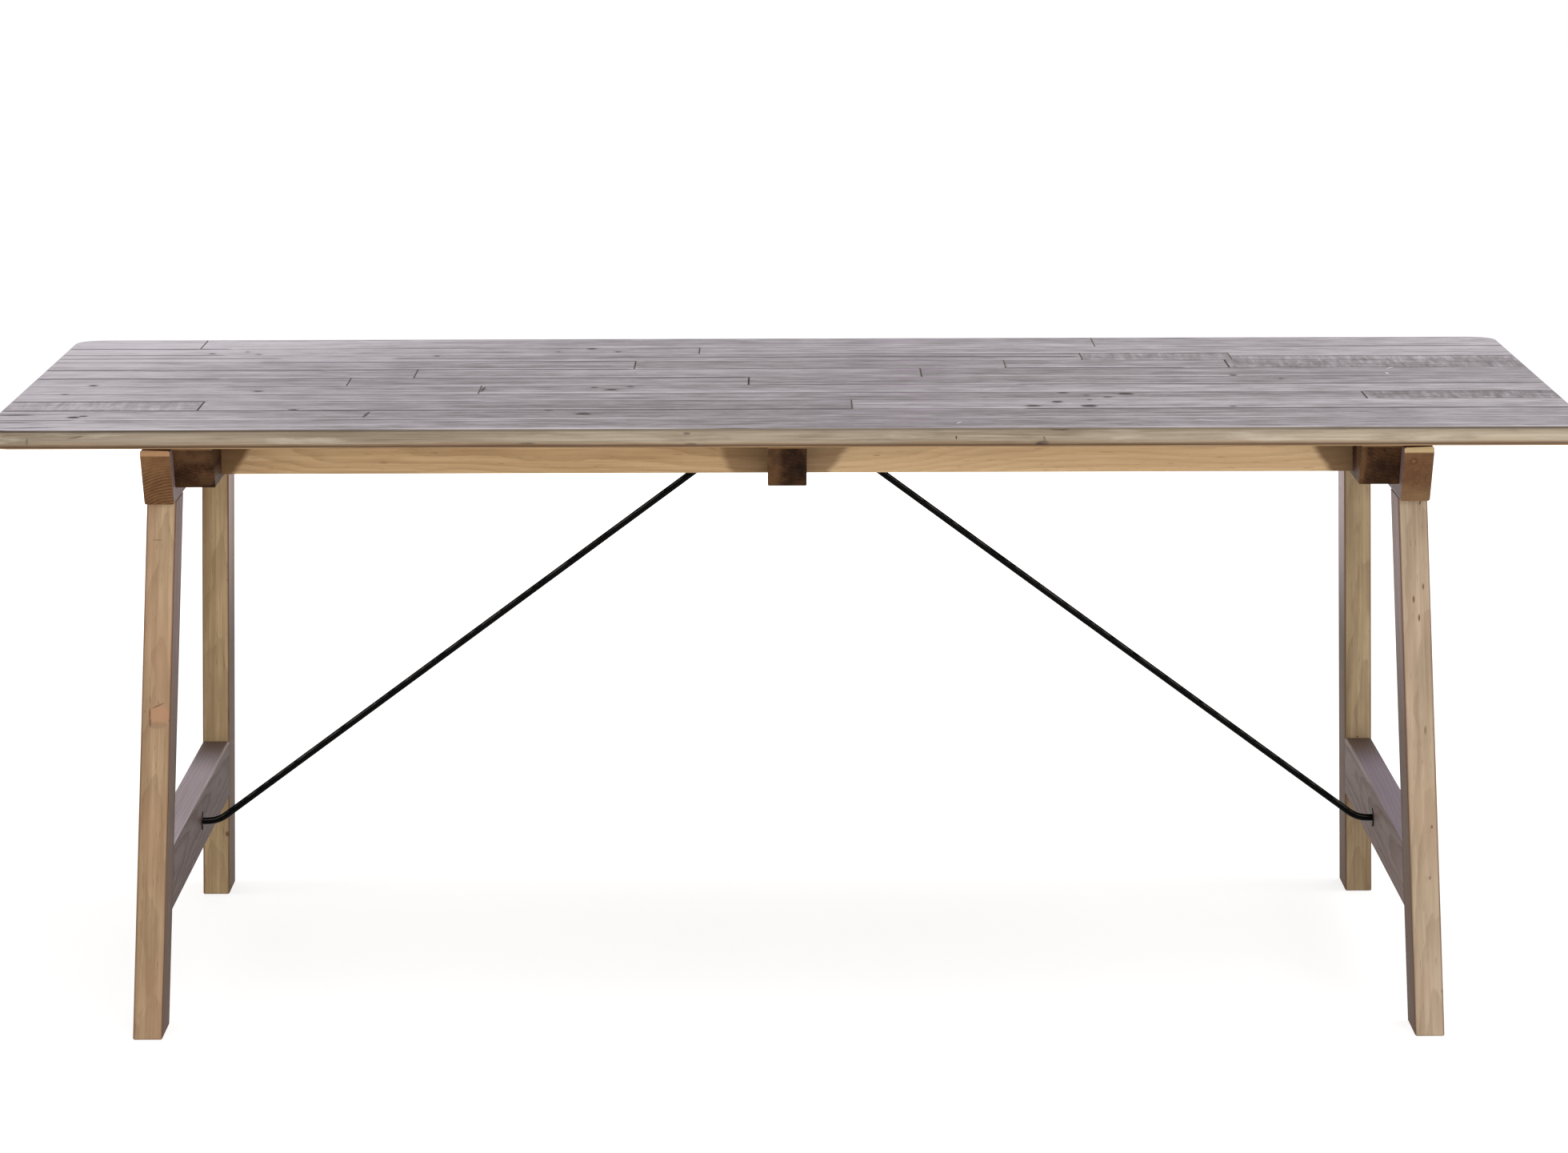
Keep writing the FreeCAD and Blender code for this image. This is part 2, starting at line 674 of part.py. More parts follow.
def make_stretcher(name, side):
    """Stretcher low between the legs, bored through the middle for the brace rod."""
    label = f"stretcher_{name}"
    body = new_body(label)
    low = "Sizes.stretcher_clear_height"
    high = STRETCHER_TOP
    section = new_sketch(body, f"{label}_section", "y", "0")
    corners = (
        (f"{side} * {inner_face(low)}", low),
        (f"{side} * {outer_face(low)}", low),
        (f"{side} * {outer_face(high)}", high),
        (f"{side} * {inner_face(high)}", high),
    )
    draw_polygon(section, corners)
    bar = extrude(body, f"{label}_bar", section, "Sizes.foot_spread", toward=0)
    round_edges(body, f"{label}_arris", bar, "Sizes.stock_round", runs_along("y"))
    shoulders = new_sketch(body, f"{label}_shoulders", "x", "0")
    margin = "Sizes.stock_round"
    below = f"({low} - {margin})"
    above = f"({high} + {margin})"
    for _, end in ENDS:
        far = f"{end} * Sizes.foot_spread"
        corners = (
            (f"{end} * {leg_inner_edge(below)}", below),
            (f"{end} * {leg_inner_edge(above)}", above),
            (far, above),
            (far, below),
        )
        draw_polygon(shoulders, corners)
    extrude(body, f"{label}_shoulder_cuts", shoulders, THROUGH, toward=0, cut=True)
    tenons = new_sketch(body, f"{label}_tenon_section", "y", "0")
    draw_polygon(tenons, tenon_section(side, "0"))
    reach = f"({leg_inner_edge(STRETCHER_MIDDLE)} + Sizes.stretcher_tenon_length)"
    extrude(body, f"{label}_tenons", tenons, f"2 * {reach}", toward=0)
    hole = new_sketch(body, f"{label}_rod_hole", "x", "0")
    centre = ("0", STRETCHER_MIDDLE)
    draw_circle(hole, centre, "Sizes.rod_diameter + 2 * Sizes.hole_clearance")
    extrude(body, f"{label}_rod_bore", hole, THROUGH, toward=side, cut=True)
    seat = f"{side} * ({inner_face(STRETCHER_MIDDLE)} + Sizes.disc_seat_depth)"
    spot = new_sketch(body, f"{label}_disc_seat", "x", seat)
    draw_circle(spot, centre, "Sizes.disc_diameter + Sizes.recess_clearance")
    extrude(body, f"{label}_disc_seat_cut", spot, THROUGH, toward=-side, cut=True)
    recess = new_sketch(body, f"{label}_nut_recess", "x", f"{side} * {ROD_SEAT}")
    draw_circle(recess, centre, "Sizes.rod_recess_diameter")
    extrude(body, f"{label}_nut_recess_cut", recess, THROUGH, toward=side, cut=True)
    keep(body)


# -------------------------------------------------------------------------- braces
ROD_BORE = "Sizes.rod_diameter + 2 * Sizes.hole_clearance"


def draw_arc(sketch, centre, begin, finish, radius):
    """Arc of a bend between two points; returns which end of it is which point."""
    middle = FreeCAD.Vector(value_of(centre[0]), value_of(centre[1]), 0)
    start = FreeCAD.Vector(value_of(begin[0]), value_of(begin[1]), 0)
    stop = FreeCAD.Vector(value_of(finish[0]), value_of(finish[1]), 0)
    circle = Part.Circle(middle, FreeCAD.Vector(0, 0, 1), value_of(radius))
    first = circle.parameter(start)
    last = circle.parameter(stop)
    turned = (start - middle).cross(stop - middle).z < 0
    if turned:
        first, last = last, first
    index = sketch.addGeometry(Part.ArcOfCircle(circle, first, last), False)
    return (index, 2, 1) if turned else (index, 1, 2)


def make_rod(name, side):
    """Brace rod: level at both ends, bent twice to run down to the stretcher."""
    label = f"brace_rod_{name}"
    body = new_body(label)
    radius = "Sizes.rod_bend_radius"
    low_level = STRETCHER_MIDDLE
    stack = "(Sizes.rod_washer_thickness + Sizes.rod_nut_height + Sizes.rod_proud)"
    first_bend = f"({HALF_BATTEN} + Sizes.rod_end_run)"
    last_bend = f"({inner_face(low_level)} - Sizes.rod_end_run)"
    # The straight run and its slope follow from the two bends' places and radius.
    across = f"({last_bend} - {first_bend})"
    fall = f"({ROD_LEVEL} - {low_level} - 2 * {radius})"
    run = f"sqrt({across}^2 + {fall}^2 - 4 * {radius}^2)"
    slope = f"(atan({fall} / {across}) + atan(2 * {radius} / {run}))"
    bend_across = f"({radius} * sin({slope}))"
    bend_fall = f"({radius} * (1 - cos({slope})))"
    points = (
        (f"{side} * ({HALF_BATTEN} - Sizes.rod_socket_depth)", ROD_LEVEL),
        (f"{side} * {first_bend}", ROD_LEVEL),
        (f"{side} * ({first_bend} + {bend_across})", f"{ROD_LEVEL} - {bend_fall}"),
        (f"{side} * ({last_bend} - {bend_across})", f"{low_level} + {bend_fall}"),
        (f"{side} * {last_bend}", low_level),
        (f"{side} * ({ROD_SEAT} + {stack})", low_level),
    )
    path = new_sketch(body, f"{label}_path", "y", "0")
    vectors = [FreeCAD.Vector(value_of(x), value_of(z), 0) for x, z in points]
    for start in (0, 2, 4):
        path.addGeometry(Part.LineSegment(vectors[start], vectors[start + 1]), False)
    bends = (
        (points[1], points[2], (points[1][0], f"{ROD_LEVEL} - {radius}")),
        (points[3], points[4], (points[4][0], f"{low_level} + {radius}")),
    )
    for index, (begin, finish, centre) in enumerate(bends):
        arc, start, stop = draw_arc(path, centre, begin, finish, radius)
        path.addConstraint(Sketcher.Constraint("Coincident", index, 2, arc, start))
        path.addConstraint(Sketcher.Constraint("Coincident", arc, stop, index + 1, 1))
        pin(path, "Radius", arc, to=radius)
    for index in range(3):
        pin_point(path, index, 1, *points[2 * index])
        pin_point(path, index, 2, *points[2 * index + 1])
    section = new_sketch(body, f"{label}_section", "x", points[0][0])
    draw_circle(section, ("0", ROD_LEVEL), "Sizes.rod_diameter")
    doc.recompute()
    pipe = body.newObject("PartDesign::AdditivePipe", f"{label}_bent_bar")
    pipe.Profile = section
    pipe.Spine = (path, [f"Edge{number}" for number in range(1, 6)])
    keep(body)


def add_rings(body, name, seat, toward, sizes, places):
    """Flat rings square to X on a seat; sizes are outer diameter, bore and thickness."""
    diameter, bore, thickness = sizes
    outline = new_sketch(body, f"{name}_outline", "x", seat)
    for place in places:
        draw_circle(outline, place, diameter)
        draw_circle(outline, place, bore)
    extrude(body, f"{name}_rings", outline, thickness, toward=toward)


def make_rod_discs(name, side):
    """Steel discs on the wood where a rod leaves the batten and meets the stretcher."""
    label = f"rod_discs_{name}"
    body = new_body(label)
    sizes = ("Sizes.disc_diameter", ROD_BORE, "Sizes.disc_thickness")
    upper = f"{side} * {HALF_BATTEN}"
    add_rings(body, f"{label}_upper", upper, side, sizes, [("0", ROD_LEVEL)])
    lower = f"{side} * ({inner_face(STRETCHER_MIDDLE)} + Sizes.disc_seat_depth)"
    add_rings(body, f"{label}_lower", lower, -side, sizes, [("0", STRETCHER_MIDDLE)])
    keep(body)


def make_rod_washers():
    """Washers at the outer ends of the rods."""
    body = new_body("rod_washers")
    sizes = ("Sizes.rod_washer_diameter", ROD_BORE, "Sizes.rod_washer_thickness")
    for name, side in SIDES:
        places = [("0", STRETCHER_MIDDLE)]
        add_rings(body, f"rod_washer_{name}", f"{side} * {ROD_SEAT}", side, sizes, places)
    keep(body)


def make_rod_nuts():
    """Nuts that pull the rods tight, in the recesses of the stretchers."""
    body = new_body("rod_nuts")
    centre = ("0", STRETCHER_MIDDLE)
    for name, side in SIDES:
        seat = f"{side} * ({ROD_SEAT} + Sizes.rod_washer_thickness)"
        outline = new_sketch(body, f"rod_nut_{name}_outline", "x", seat)
        draw_hexagon(outline, centre, "Sizes.rod_nut_size")
        draw_circle(outline, centre, "Sizes.rod_diameter + Sizes.hole_clearance")
        hexagon = f"rod_nut_{name}_hexagon"
        extrude(body, hexagon, outline, "Sizes.rod_nut_height", toward=side)
    keep(body)


# ----------------------------------------------------------------------- fasteners
BOLT_PLACES = tuple((f"{sign} * Sizes.bolt_spacing / 2", BOLT_LEVEL) for _, sign in ENDS)


def make_trestle_bolts(name, side):
    """The two bolts of a trestle, each a shank with a hexagon head in its recess."""
    label = f"trestle_bolts_{name}"
    body = new_body(label)
    stack = "Sizes.bolt_washer_thickness + Sizes.bolt_nut_height + Sizes.bolt_proud"
    tip = f"({BATTEN_FACE} - ({stack}))"
    under_head = f"({BOLT_SEAT} + Sizes.bolt_washer_thickness)"
    shanks = new_sketch(body, f"{label}_shank_outline", "x", f"{side} * {tip}")
    heads = new_sketch(body, f"{label}_head_outline", "x", f"{side} * {under_head}")
    for place in BOLT_PLACES:
        draw_circle(shanks, place, "Sizes.bolt_diameter")
        draw_hexagon(heads, place, "Sizes.bolt_head_size")
    extrude(body, f"{label}_shanks", shanks, f"{under_head} - {tip}", toward=side)
    extrude(body, f"{label}_heads", heads, "Sizes.bolt_head_height", toward=side)
    keep(body)


def make_trestle_washers():
    """Washers under every bolt head and every nut of the trestles."""
    body = new_body("trestle_washers")
    bore = "Sizes.bolt_diameter + 2 * Sizes.hole_clearance"
    sizes = ("Sizes.bolt_washer_diameter", bore, "Sizes.bolt_washer_thickness")
    for name, side in SIDES:
        outer = f"{side} * {BOLT_SEAT}"
        add_rings(body, f"washers_{name}_outer", outer, side, sizes, BOLT_PLACES)
        inner = f"{side} * {BATTEN_FACE}"
        add_rings(body, f"washers_{name}_inner", inner, -side, sizes, BOLT_PLACES)
    keep(body)


def make_trestle_nuts():
    """Nuts on the inner sides of the end battens."""
    label = "trestle_nuts"
    body = new_body(label)
    for name, side in SIDES:
        seat = f"{side} * ({BATTEN_FACE} - Sizes.bolt_washer_thickness)"
        outline = new_sketch(body, f"nut_{name}", "x", seat)
        for place in BOLT_PLACES:
            draw_hexagon(outline, place, "Sizes.bolt_head_size")
            draw_circle(outline, place, "Sizes.bolt_diameter + Sizes.hole_clearance")
        extrude(body, f"nut_{name}_hexagons", outline, "Sizes.bolt_nut_height", toward=-side)
    keep(body)


def make_plank_screws(name, middle):
    """Screws of one batten: hexagon heads under it, shanks up into the planks."""
    label = f"plank_screws_{name}"
    body = new_body(label)
    heads = new_sketch(body, f"{label}_head_outline", "z", BATTEN_LOW)
    shanks = new_sketch(body, f"{label}_shank_outline", "z", BATTEN_LOW)
    for place in screw_places(middle):
        draw_hexagon(heads, place, "Sizes.screw_head_size")
        draw_circle(shanks, place, "Sizes.screw_diameter")
    extrude(body, f"{label}_heads", heads, "Sizes.screw_head_height", toward=-1)
    extrude(body, f"{label}_shanks", shanks, "Sizes.batten_height + Sizes.screw_bite")
    keep(body)


# ------------------------------------------------------------------------ assembly
make_planks()
make_centre_batten()
for side_name, side_sign in SIDES:
    make_end_batten(side_name, side_sign)
    make_head_beam(side_name, side_sign)
    make_stretcher(side_name, side_sign)
    make_rod(side_name, side_sign)
    make_rod_discs(side_name, side_sign)
    make_trestle_bolts(side_name, side_sign)
    for end_label, end_sign in ENDS:
        make_leg(side_name, side_sign, end_label, end_sign)
        make_rail(end_label, end_sign, side_name, side_sign)
make_rod_washers()
make_rod_nuts()
make_trestle_washers()
make_trestle_nuts()
for batten_name, batten_middle in BATTEN_MIDDLES.items():
    make_plank_screws(batten_name, batten_middle)
doc.recompute()

for item in doc.Objects:
    troubles = [state for state in item.State if state in ("Invalid", "Error")]
    if troubles:
        raise RuntimeError(f"{item.Name} is {troubles}")
for part in parts:
    if part.Shape.isNull() or not part.Shape.isValid():
        raise RuntimeError(f"{part.Label} has no sound shape")

os.makedirs("parts", exist_ok=True)
for part in parts:
    part.Shape.exportStep(os.path.join("parts", f"{part.Label}.step"))
    print(f"{part.Label:24s} {len(part.Shape.Solids):3d} solids {part.Shape.Volume / 1000:10.1f} cm3")
print(len(parts), "sub-parts")
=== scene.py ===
# %% [markdown]
# Sawbuck table.  A long dining table: reclaimed planks under a grey wash, glued into a top
# with round corners, on two splayed trestles of pale pine.  Two bent steel rods brace the
# trestles to the middle of the top.  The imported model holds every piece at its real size,
# so this lesson is about dressing it: what the tree left inside each board, what the saw
# and the brush did to it, and what years of use rubbed off.

# %% The frame
import math
import random

import bpy
from mathutils import Matrix, Vector


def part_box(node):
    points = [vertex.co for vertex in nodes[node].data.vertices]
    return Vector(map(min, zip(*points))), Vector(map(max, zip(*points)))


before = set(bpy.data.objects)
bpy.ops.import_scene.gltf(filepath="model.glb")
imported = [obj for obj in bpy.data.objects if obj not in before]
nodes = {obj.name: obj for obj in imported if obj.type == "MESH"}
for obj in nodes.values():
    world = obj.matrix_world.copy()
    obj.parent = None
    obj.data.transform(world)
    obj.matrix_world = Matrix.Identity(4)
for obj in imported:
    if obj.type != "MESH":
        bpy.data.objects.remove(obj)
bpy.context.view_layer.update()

print(len(nodes), "nodes in the frame")

# %% [markdown]
# A finish is a sum of many small facts: this line of grain is darker, that corner is worn.
# Wiring each sum by hand hides the idea, so a Term stands for one socket, and adding or
# multiplying Terms adds the Math nodes.

# %% Sums in a node tree
class Term:
    """A number that varies over a surface, as the output socket of a node."""

    def __init__(self, finish, socket):
        self.finish = finish
        self.socket = socket

    def sum(self, operation, *terms):
        """One Math node over the terms."""
        return self.finish.node("ShaderNodeMath", {"operation": operation}, dict(enumerate(terms)))

    def __add__(self, other):
        return self.sum("ADD", self, other)

    def __sub__(self, other):
        return self.sum("SUBTRACT", self, other)

    def __rsub__(self, other):
        return self.sum("SUBTRACT", other, self)

    def __mul__(self, other):
        return self.sum("MULTIPLY", self, other)

    def __truediv__(self, other):
        return self.sum("DIVIDE", self, other)

    def root(self):
        """The square root."""
        return self.sum("SQRT", self)

    def size(self):
        """The number without its sign."""
        return self.sum("ABSOLUTE", self)

    def part(self):
        """What is left over a whole number."""
        return self.sum("FRACT", self)

    def either(self, other):
        """The larger of two numbers."""
        return self.sum("MAXIMUM", self, other)

    def both(self, other):
        """The smaller of two numbers."""
        return self.sum("MINIMUM", self, other)

    def step(self, start, end):
        """0 before start and 1 after end, with a smooth way between; start may be the larger."""
        low, high = min(start, end), max(start, end)
        settings = {"interpolation_type": "SMOOTHSTEP"}
        sockets = {"Value": self, "From Min": low, "From Max": high}
        if start > end:
            sockets.update({"To Min": 1.0, "To Max": 0.0})
        return self.finish.node("ShaderNodeMapRange", settings, sockets)

# %% [markdown]
# A Finish holds the node tree of one material.  One method of it makes any node from its
# settings and inputs, and the others are the few kinds of node that wood and steel need:
# noise, a mix of two colours, a relief, and the shader at the end.

# %% A material
COLOUR_SOCKET = -2         # a Mix node repeats its sockets for each kind of data, colours last but one


class Finish:
    """One material and the nodes in it."""

    def __init__(self, name):
        self.material = bpy.data.materials.new(name)
        self.material.use_nodes = True
        self.tree = self.material.node_tree
        self.shader = self.tree.nodes["Principled BSDF"]
        self.place = self.node("ShaderNodeTexCoord", output="Object")
        self.facing = self.node("ShaderNodeNewGeometry", output="Normal")

    def plug(self, socket, value):
        """Puts a link or a plain value into a socket."""
        if isinstance(value, Term):
            self.tree.links.new(value.socket, socket)
        else:
            socket.default_value = value

    def node(self, kind, settings=None, inputs=None, output=0):
        """Adds a node: its settings first, then the values or links of its sockets."""
        node = self.tree.nodes.new(kind)
        for name, value in (settings or {}).items():
            setattr(node, name, value)
        for name, value in (inputs or {}).items():
            self.plug(node.inputs[name], value)
        return Term(self, node.outputs[output])

    def axes(self, vector):
        """The three parts of a vector."""
        split = self.node("ShaderNodeSeparateXYZ", inputs={0: vector}).socket.node
        return [Term(self, socket) for socket in split.outputs]

    def vector(self, x, y, z):
        """A vector from its three parts."""
        return self.node("ShaderNodeCombineXYZ", inputs={0: x, 1: y, 2: z})

    def scaled(self, vector, factor):
        """A vector made longer by a factor."""
        factors = (factor, factor, factor)
        return self.node("ShaderNodeVectorMath", {"operation": "MULTIPLY"}, {0: vector, 1: factors})

    def noise(self, vector, detail=3.0, roughness=0.5, distortion=0.0):
        """Soft noise about 0.5, at one blob to a unit of the vector."""
        sockets = {"Vector": vector, "Scale": 1.0, "Detail": detail, "Roughness": roughness}
        sockets["Distortion"] = distortion
        return self.node("ShaderNodeTexNoise", {}, sockets)

    def blend(self, factor, colour, other):
        """A colour that goes from one to another as the factor goes from 0 to 1."""
        mix = self.tree.nodes.new("ShaderNodeMix")
        mix.data_type = "RGBA"
        self.plug(mix.inputs["Factor"], factor)
        self.plug([s for s in mix.inputs if s.name == "A"][COLOUR_SOCKET], colour)
        self.plug([s for s in mix.inputs if s.name == "B"][COLOUR_SOCKET], other)
        return Term(self, [s for s in mix.outputs if s.name == "Result"][COLOUR_SOCKET])

    def bump(self, height, depth):
        """Normals of a relief of a depth in metres where the height goes from 0 to 1."""
        sockets = {"Strength": 1.0, "Distance": depth, "Height": height}
        self.plug(self.shader.inputs["Normal"], self.node("ShaderNodeBump", {}, sockets))

    def surface(self, colour, roughness, gloss, metallic=0.0):
        """Sets what the shader does with light."""
        self.plug(self.shader.inputs["Base Color"], colour)
        self.plug(self.shader.inputs["Roughness"], roughness)
        self.shader.inputs["Specular IOR Level"].default_value = gloss
        self.shader.inputs["Metallic"].default_value = metallic

# %% [markdown]
# Colours are easiest to compare with a paint chart as three numbers from 0 to 255.  A node
# wants the amount of light instead, so they are turned into that once, here.

# %% Paint
def paint(red, green, blue):
    """A colour for a node's socket from the 0 to 255 numbers of a paint chart."""
    def linear(level):
        share = level / 255
        return share / 12.92 if share <= 0.04045 else ((share + 0.055) / 1.055) ** 2.4
    return (linear(red), linear(green), linear(blue), 1.0)

# %% [markdown]
# The camera stands far away at the height of a standing eye and looks a little down, so the
# top shows as a strip and the trestles show nearly square on.  A long lens keeps them
# straight.  Its matrix is a place and three turns: about the vertical, up or down, and about
# its own line of sight.

# %% Camera
SENSOR = 36.0        # millimetres wide
LENS = 128.286       # millimetres
CAMERA_PLACE = (-0.0103, -7.352, 1.6558)
CAMERA_TURNS = ((-0.049, "Z"), (81.172, "X"), (-0.160, "Z"))

camera_data = bpy.data.cameras.new("camera")
camera_data.lens = LENS
camera_data.sensor_width = SENSOR
camera = bpy.data.objects.new("camera", camera_data)
bpy.context.scene.collection.objects.link(camera)
stand = Matrix.Translation(CAMERA_PLACE)
for degrees, axis in CAMERA_TURNS:
    stand = stand @ Matrix.Rotation(math.radians(degrees), 4, axis)
camera.matrix_world = stand
bpy.context.scene.camera = camera
bpy.context.scene.view_settings.view_transform = "Standard"
print("camera at", [round(x, 3) for x in camera.location])

# %% [markdown]
# A studio for a table is one big soft lamp above, one in front and one behind, with weaker
# ones at both ends, so that no side lies in the dark.  The camera sees none of them, and
# gloss shows only the first two.

# %% Lamps
def lamp(name, place, target, width, height, watts, mirrored=False):
    """A soft lamp of a width and height, aimed at a target."""
    data = bpy.data.lights.new(name, "AREA")
    data.shape = "RECTANGLE"
    data.size, data.size_y, data.energy = width, height, watts
    light = bpy.data.objects.new(name, data)
    light.visible_camera = False
    light.visible_glossy = mirrored
    aim = (Vector(target) - Vector(place)).to_track_quat("-Z", "Y")
    light.matrix_world = Matrix.Translation(place) @ aim.to_matrix().to_4x4()
    bpy.context.scene.collection.objects.link(light)


lamp("lamp_above", (0.6, -0.6, 3.6), (0, 0, 0.7), 4.5, 3.0, 90, mirrored=True)
lamp("lamp_front", (0.9, -5.5, 1.5), (0, 0, 0.5), 4.0, 2.2, 150, mirrored=True)
lamp("lamp_back", (-0.9, 5.5, 1.2), (0, 0, 0.4), 4.0, 2.2, 110)
lamp("lamp_left", (-5.2, -0.3, 0.9), (0, 0, 0.4), 3.0, 1.7, 75)
lamp("lamp_right", (5.2, -0.3, 0.9), (0, 0, 0.4), 3.0, 1.7, 75)
print(len(bpy.data.lights), "lamps are lit")

# %% [markdown]
# The world is white where the camera or a glossy surface looks at it, and sheds a weaker
# light on the wood, so that colours stay as mixed.

# %% World
WORLD_SHEDS = 0.42

world = bpy.data.worlds.new("studio")
bpy.context.scene.world = world
world.use_nodes = True
world_tree = world.node_tree
rays = world_tree.nodes.new("ShaderNodeLightPath")
seen = rays.outputs["Is Camera Ray"]
for ray in ("Is Glossy Ray", "Is Transmission Ray"):
    either = world_tree.nodes.new("ShaderNodeMath")
    either.operation = "MAXIMUM"
    world_tree.links.new(seen, either.inputs[0])
    world_tree.links.new(rays.outputs[ray], either.inputs[1])
    seen = either.outputs[0]
level = world_tree.nodes.new("ShaderNodeMapRange")
level.inputs["To Min"].default_value = WORLD_SHEDS
level.inputs["To Max"].default_value = 1.0
world_tree.links.new(seen, level.inputs["Value"])
world_tree.links.new(level.outputs[0], world_tree.nodes["Background"].inputs["Strength"])
world_tree.nodes["Background"].inputs["Color"].default_value = (1.0, 1.0, 1.0, 1.0)
print("the world sheds", WORLD_SHEDS, "of what the camera sees of it")

# %% [markdown]
# The floor is a sheet of paper.  It is partly lit and partly glowing: it reads as white, a
# little more so further off, and still takes the shadow.  Seen from below it isn't there, so
# that the underside of the table can be looked at.

# %% Floor
FLOOR_SIZE = 40
PAPER = (0.8, 0.8, 0.8, 1.0)
PAPER_SEEN = (0.46, 0.46, 0.46, 1.0)      # to the camera, which sees the glow as well
GLOW = 0.73
FAR = (1.2, 4.0)                          # metres from the middle of the floor
FAR_GLOW = 0.12                           # how much more it glows there

bpy.ops.object.select_all(action="DESELECT")
bpy.ops.mesh.primitive_plane_add(size=FLOOR_SIZE, location=(0, 0, 0))
floor = bpy.context.object
floor.name = "floor"
paper = Finish("paper")
watched = paper.node("ShaderNodeLightPath", output="Is Camera Ray")
glow = watched.either(paper.node("ShaderNodeLightPath", output="Is Glossy Ray"))
away = paper.node("ShaderNodeVectorMath", {"operation": "LENGTH"}, {0: paper.place}, "Value")
paper.surface(paper.blend(watched, PAPER, PAPER_SEEN), 0.9, gloss=0.0)
paper.shader.inputs["Emission Color"].default_value = (1.0, 1.0, 1.0, 1.0)
paper.plug(paper.shader.inputs["Emission Strength"], glow * (away.step(*FAR) * FAR_GLOW + GLOW))
beneath = paper.node("ShaderNodeNewGeometry", output="Backfacing")
paper.plug(paper.shader.inputs["Alpha"], 1 - beneath)
floor.data.materials.append(paper.material)
print("the floor is", FLOOR_SIZE, "m wide")

# %% [markdown]
# Sawn wood shows where in the tree a board was cut.  Its growth rings are tubes about the
# heart of the trunk, so a long face shows them as lines and arches and a sawn end shows
# them as arcs, and both come from one sum: the distance to the heart, divided by the width
# of a ring.  Noise makes the trunk a little crooked, and a knot pushes the rings aside.
# Over the rings lie streaks of three widths, all drawn out along the grain.

# %% What the tree left in a board
GRAIN_DEPTH = 0.0004       # metres between the hollows and the ridges of the grain
SANDED = 0.42              # the least roughness of the wood


class Timber(Finish):
    """The finish of one sawn piece, which knows how the piece lay in the tree."""

    def __init__(self, name, seed, lie, heart, ring, knots=(), taper=0.0):
        super().__init__(name + "_finish")
        self.dice = random.Random(seed)
        self.x, self.y, self.z = self.axes(self.place)
        self.east, self.north, self.up = self.axes(self.facing)
        self.along, self.across, self.into = lie(self.x, self.y, self.z)
        # three widths of streaks, from fine to broad
        self.hair = self.streaks(11, 520, seed)
        self.broom = self.streaks(3.1, 130, seed + 7)
        self.band = self.streaks(1.2, 22, seed + 13)
        self.knot = self.nearest_knot(knots)
        self.late = self.late_wood(heart, ring, seed, taper)

    def streaks(self, long, fine, seed, detail=3):
        """Noise drawn out along the grain: so many streaks to a metre along and across it."""
        place = self.vector(self.along * long + seed, self.across * fine, self.into * fine)
        return self.noise(place, detail)

    def nearest_knot(self, knots):
        """How far the nearest knot is, counted in its own radius."""
        nearest = None
        for x, y, size, darkness in knots:
            run, side = (self.along - x) * (1.3 / size), (self.across - y) * (1.2 / size)
            away = (run * run + side * side).root() + (1.0 - darkness)
            nearest = nearest.both(away) if nearest else away
        if nearest:
            nearest = nearest * (self.streaks(45, 200, 3.0) * 1.4 + 0.3)
        return nearest

    def late_wood(self, heart, ring, seed, taper):
        """The dark part of each ring (0 to 1); a trunk that tapers gives arches along a board."""
        # the heart wanders by centimetres and the rings ripple by millimetres
        crook = self.streaks(1.1, 4.0, seed, detail=2)
        ripple = self.streaks(14.0, 40.0, seed, detail=2)
        side = self.across - heart[0] + (crook - 0.5) * 0.07
        depth = self.into - heart[1] + (crook - 0.5) * 0.03
        out = (side * side + depth * depth).root() + (ripple - 0.5) * 0.006 + self.along * taper
        if self.knot:
            out = out + self.knot.step(3.5, 0.3) * 0.012
        # the wood darkens through the year and turns pale at once in spring
        year = (out / ring).part()
        return year.step(0.25, 0.92) * year.step(1.0, 0.95)

    def wood(self, dark, pale, line, rings, level=0.5, clouds=1.0):
        """Bare wood: slow clouds from dark to pale, streaks, and ring lines over them."""
        cloud = (self.band - 0.5) * (0.9 * clouds) + (self.broom - 0.5) * 0.6
        cloud = cloud + (self.hair - 0.5) * 0.5 + (level + self.dice.uniform(-0.05, 0.05))
        return self.blend(self.late * rings, self.blend(cloud.step(0.0, 1.0), dark, pale), line)

    def tint(self, colour, other, strength, seed, long=3.0, fine=14.0):
        """Slow stains of another colour."""
        stain = self.streaks(long, fine, seed, detail=2)
        return self.blend(stain.step(0.44, 0.68) * strength, colour, other)

    def flecks(self, colour, ink, strength):
        """Short dark pores, a few millimetres long."""
        pores = self.streaks(48, 620, 5.0, detail=1)
        return self.blend(pores.step(0.66, 0.76) * strength, colour, ink)

    def arris(self, half_across, half_into):
        """How far the nearest long edge is, from a point on a face of a straight stick."""
        return (half_across - self.across.size()).either(half_into - self.into.size())

    def spot(self, u, v, middle, half, where=1.0, turn=0.0):
        """1 in a soft oval and 0 outside it; the oval may be turned, by an angle in degrees."""
        swing = math.radians(turn)
        right, up = u - middle[0], v - middle[1]
        across = (right * math.cos(swing) + up * math.sin(swing)) / half[0]
        along = (up * math.cos(swing) - right * math.sin(swing)) / half[1]
        return (across * across + along * along).root().step(1.0, 0.45) * where

    def done(self, colour, gloss, relief=0.0):
        """Sets the colour, and a sheen and a relief that follow the grain."""
        self.surface(colour, self.hair * 0.25 + self.late * 0.08 + SANDED, gloss)
        self.bump(self.late * 0.35 + self.hair * 0.5 + self.broom * 0.4 + relief, GRAIN_DEPTH)
        return self.material

# %% [markdown]
# A Timber asks how its stick lies: what runs along the grain, across it and into the wood,
# measured from the middle line of the stick.  The sticks of a table lie in four ways.

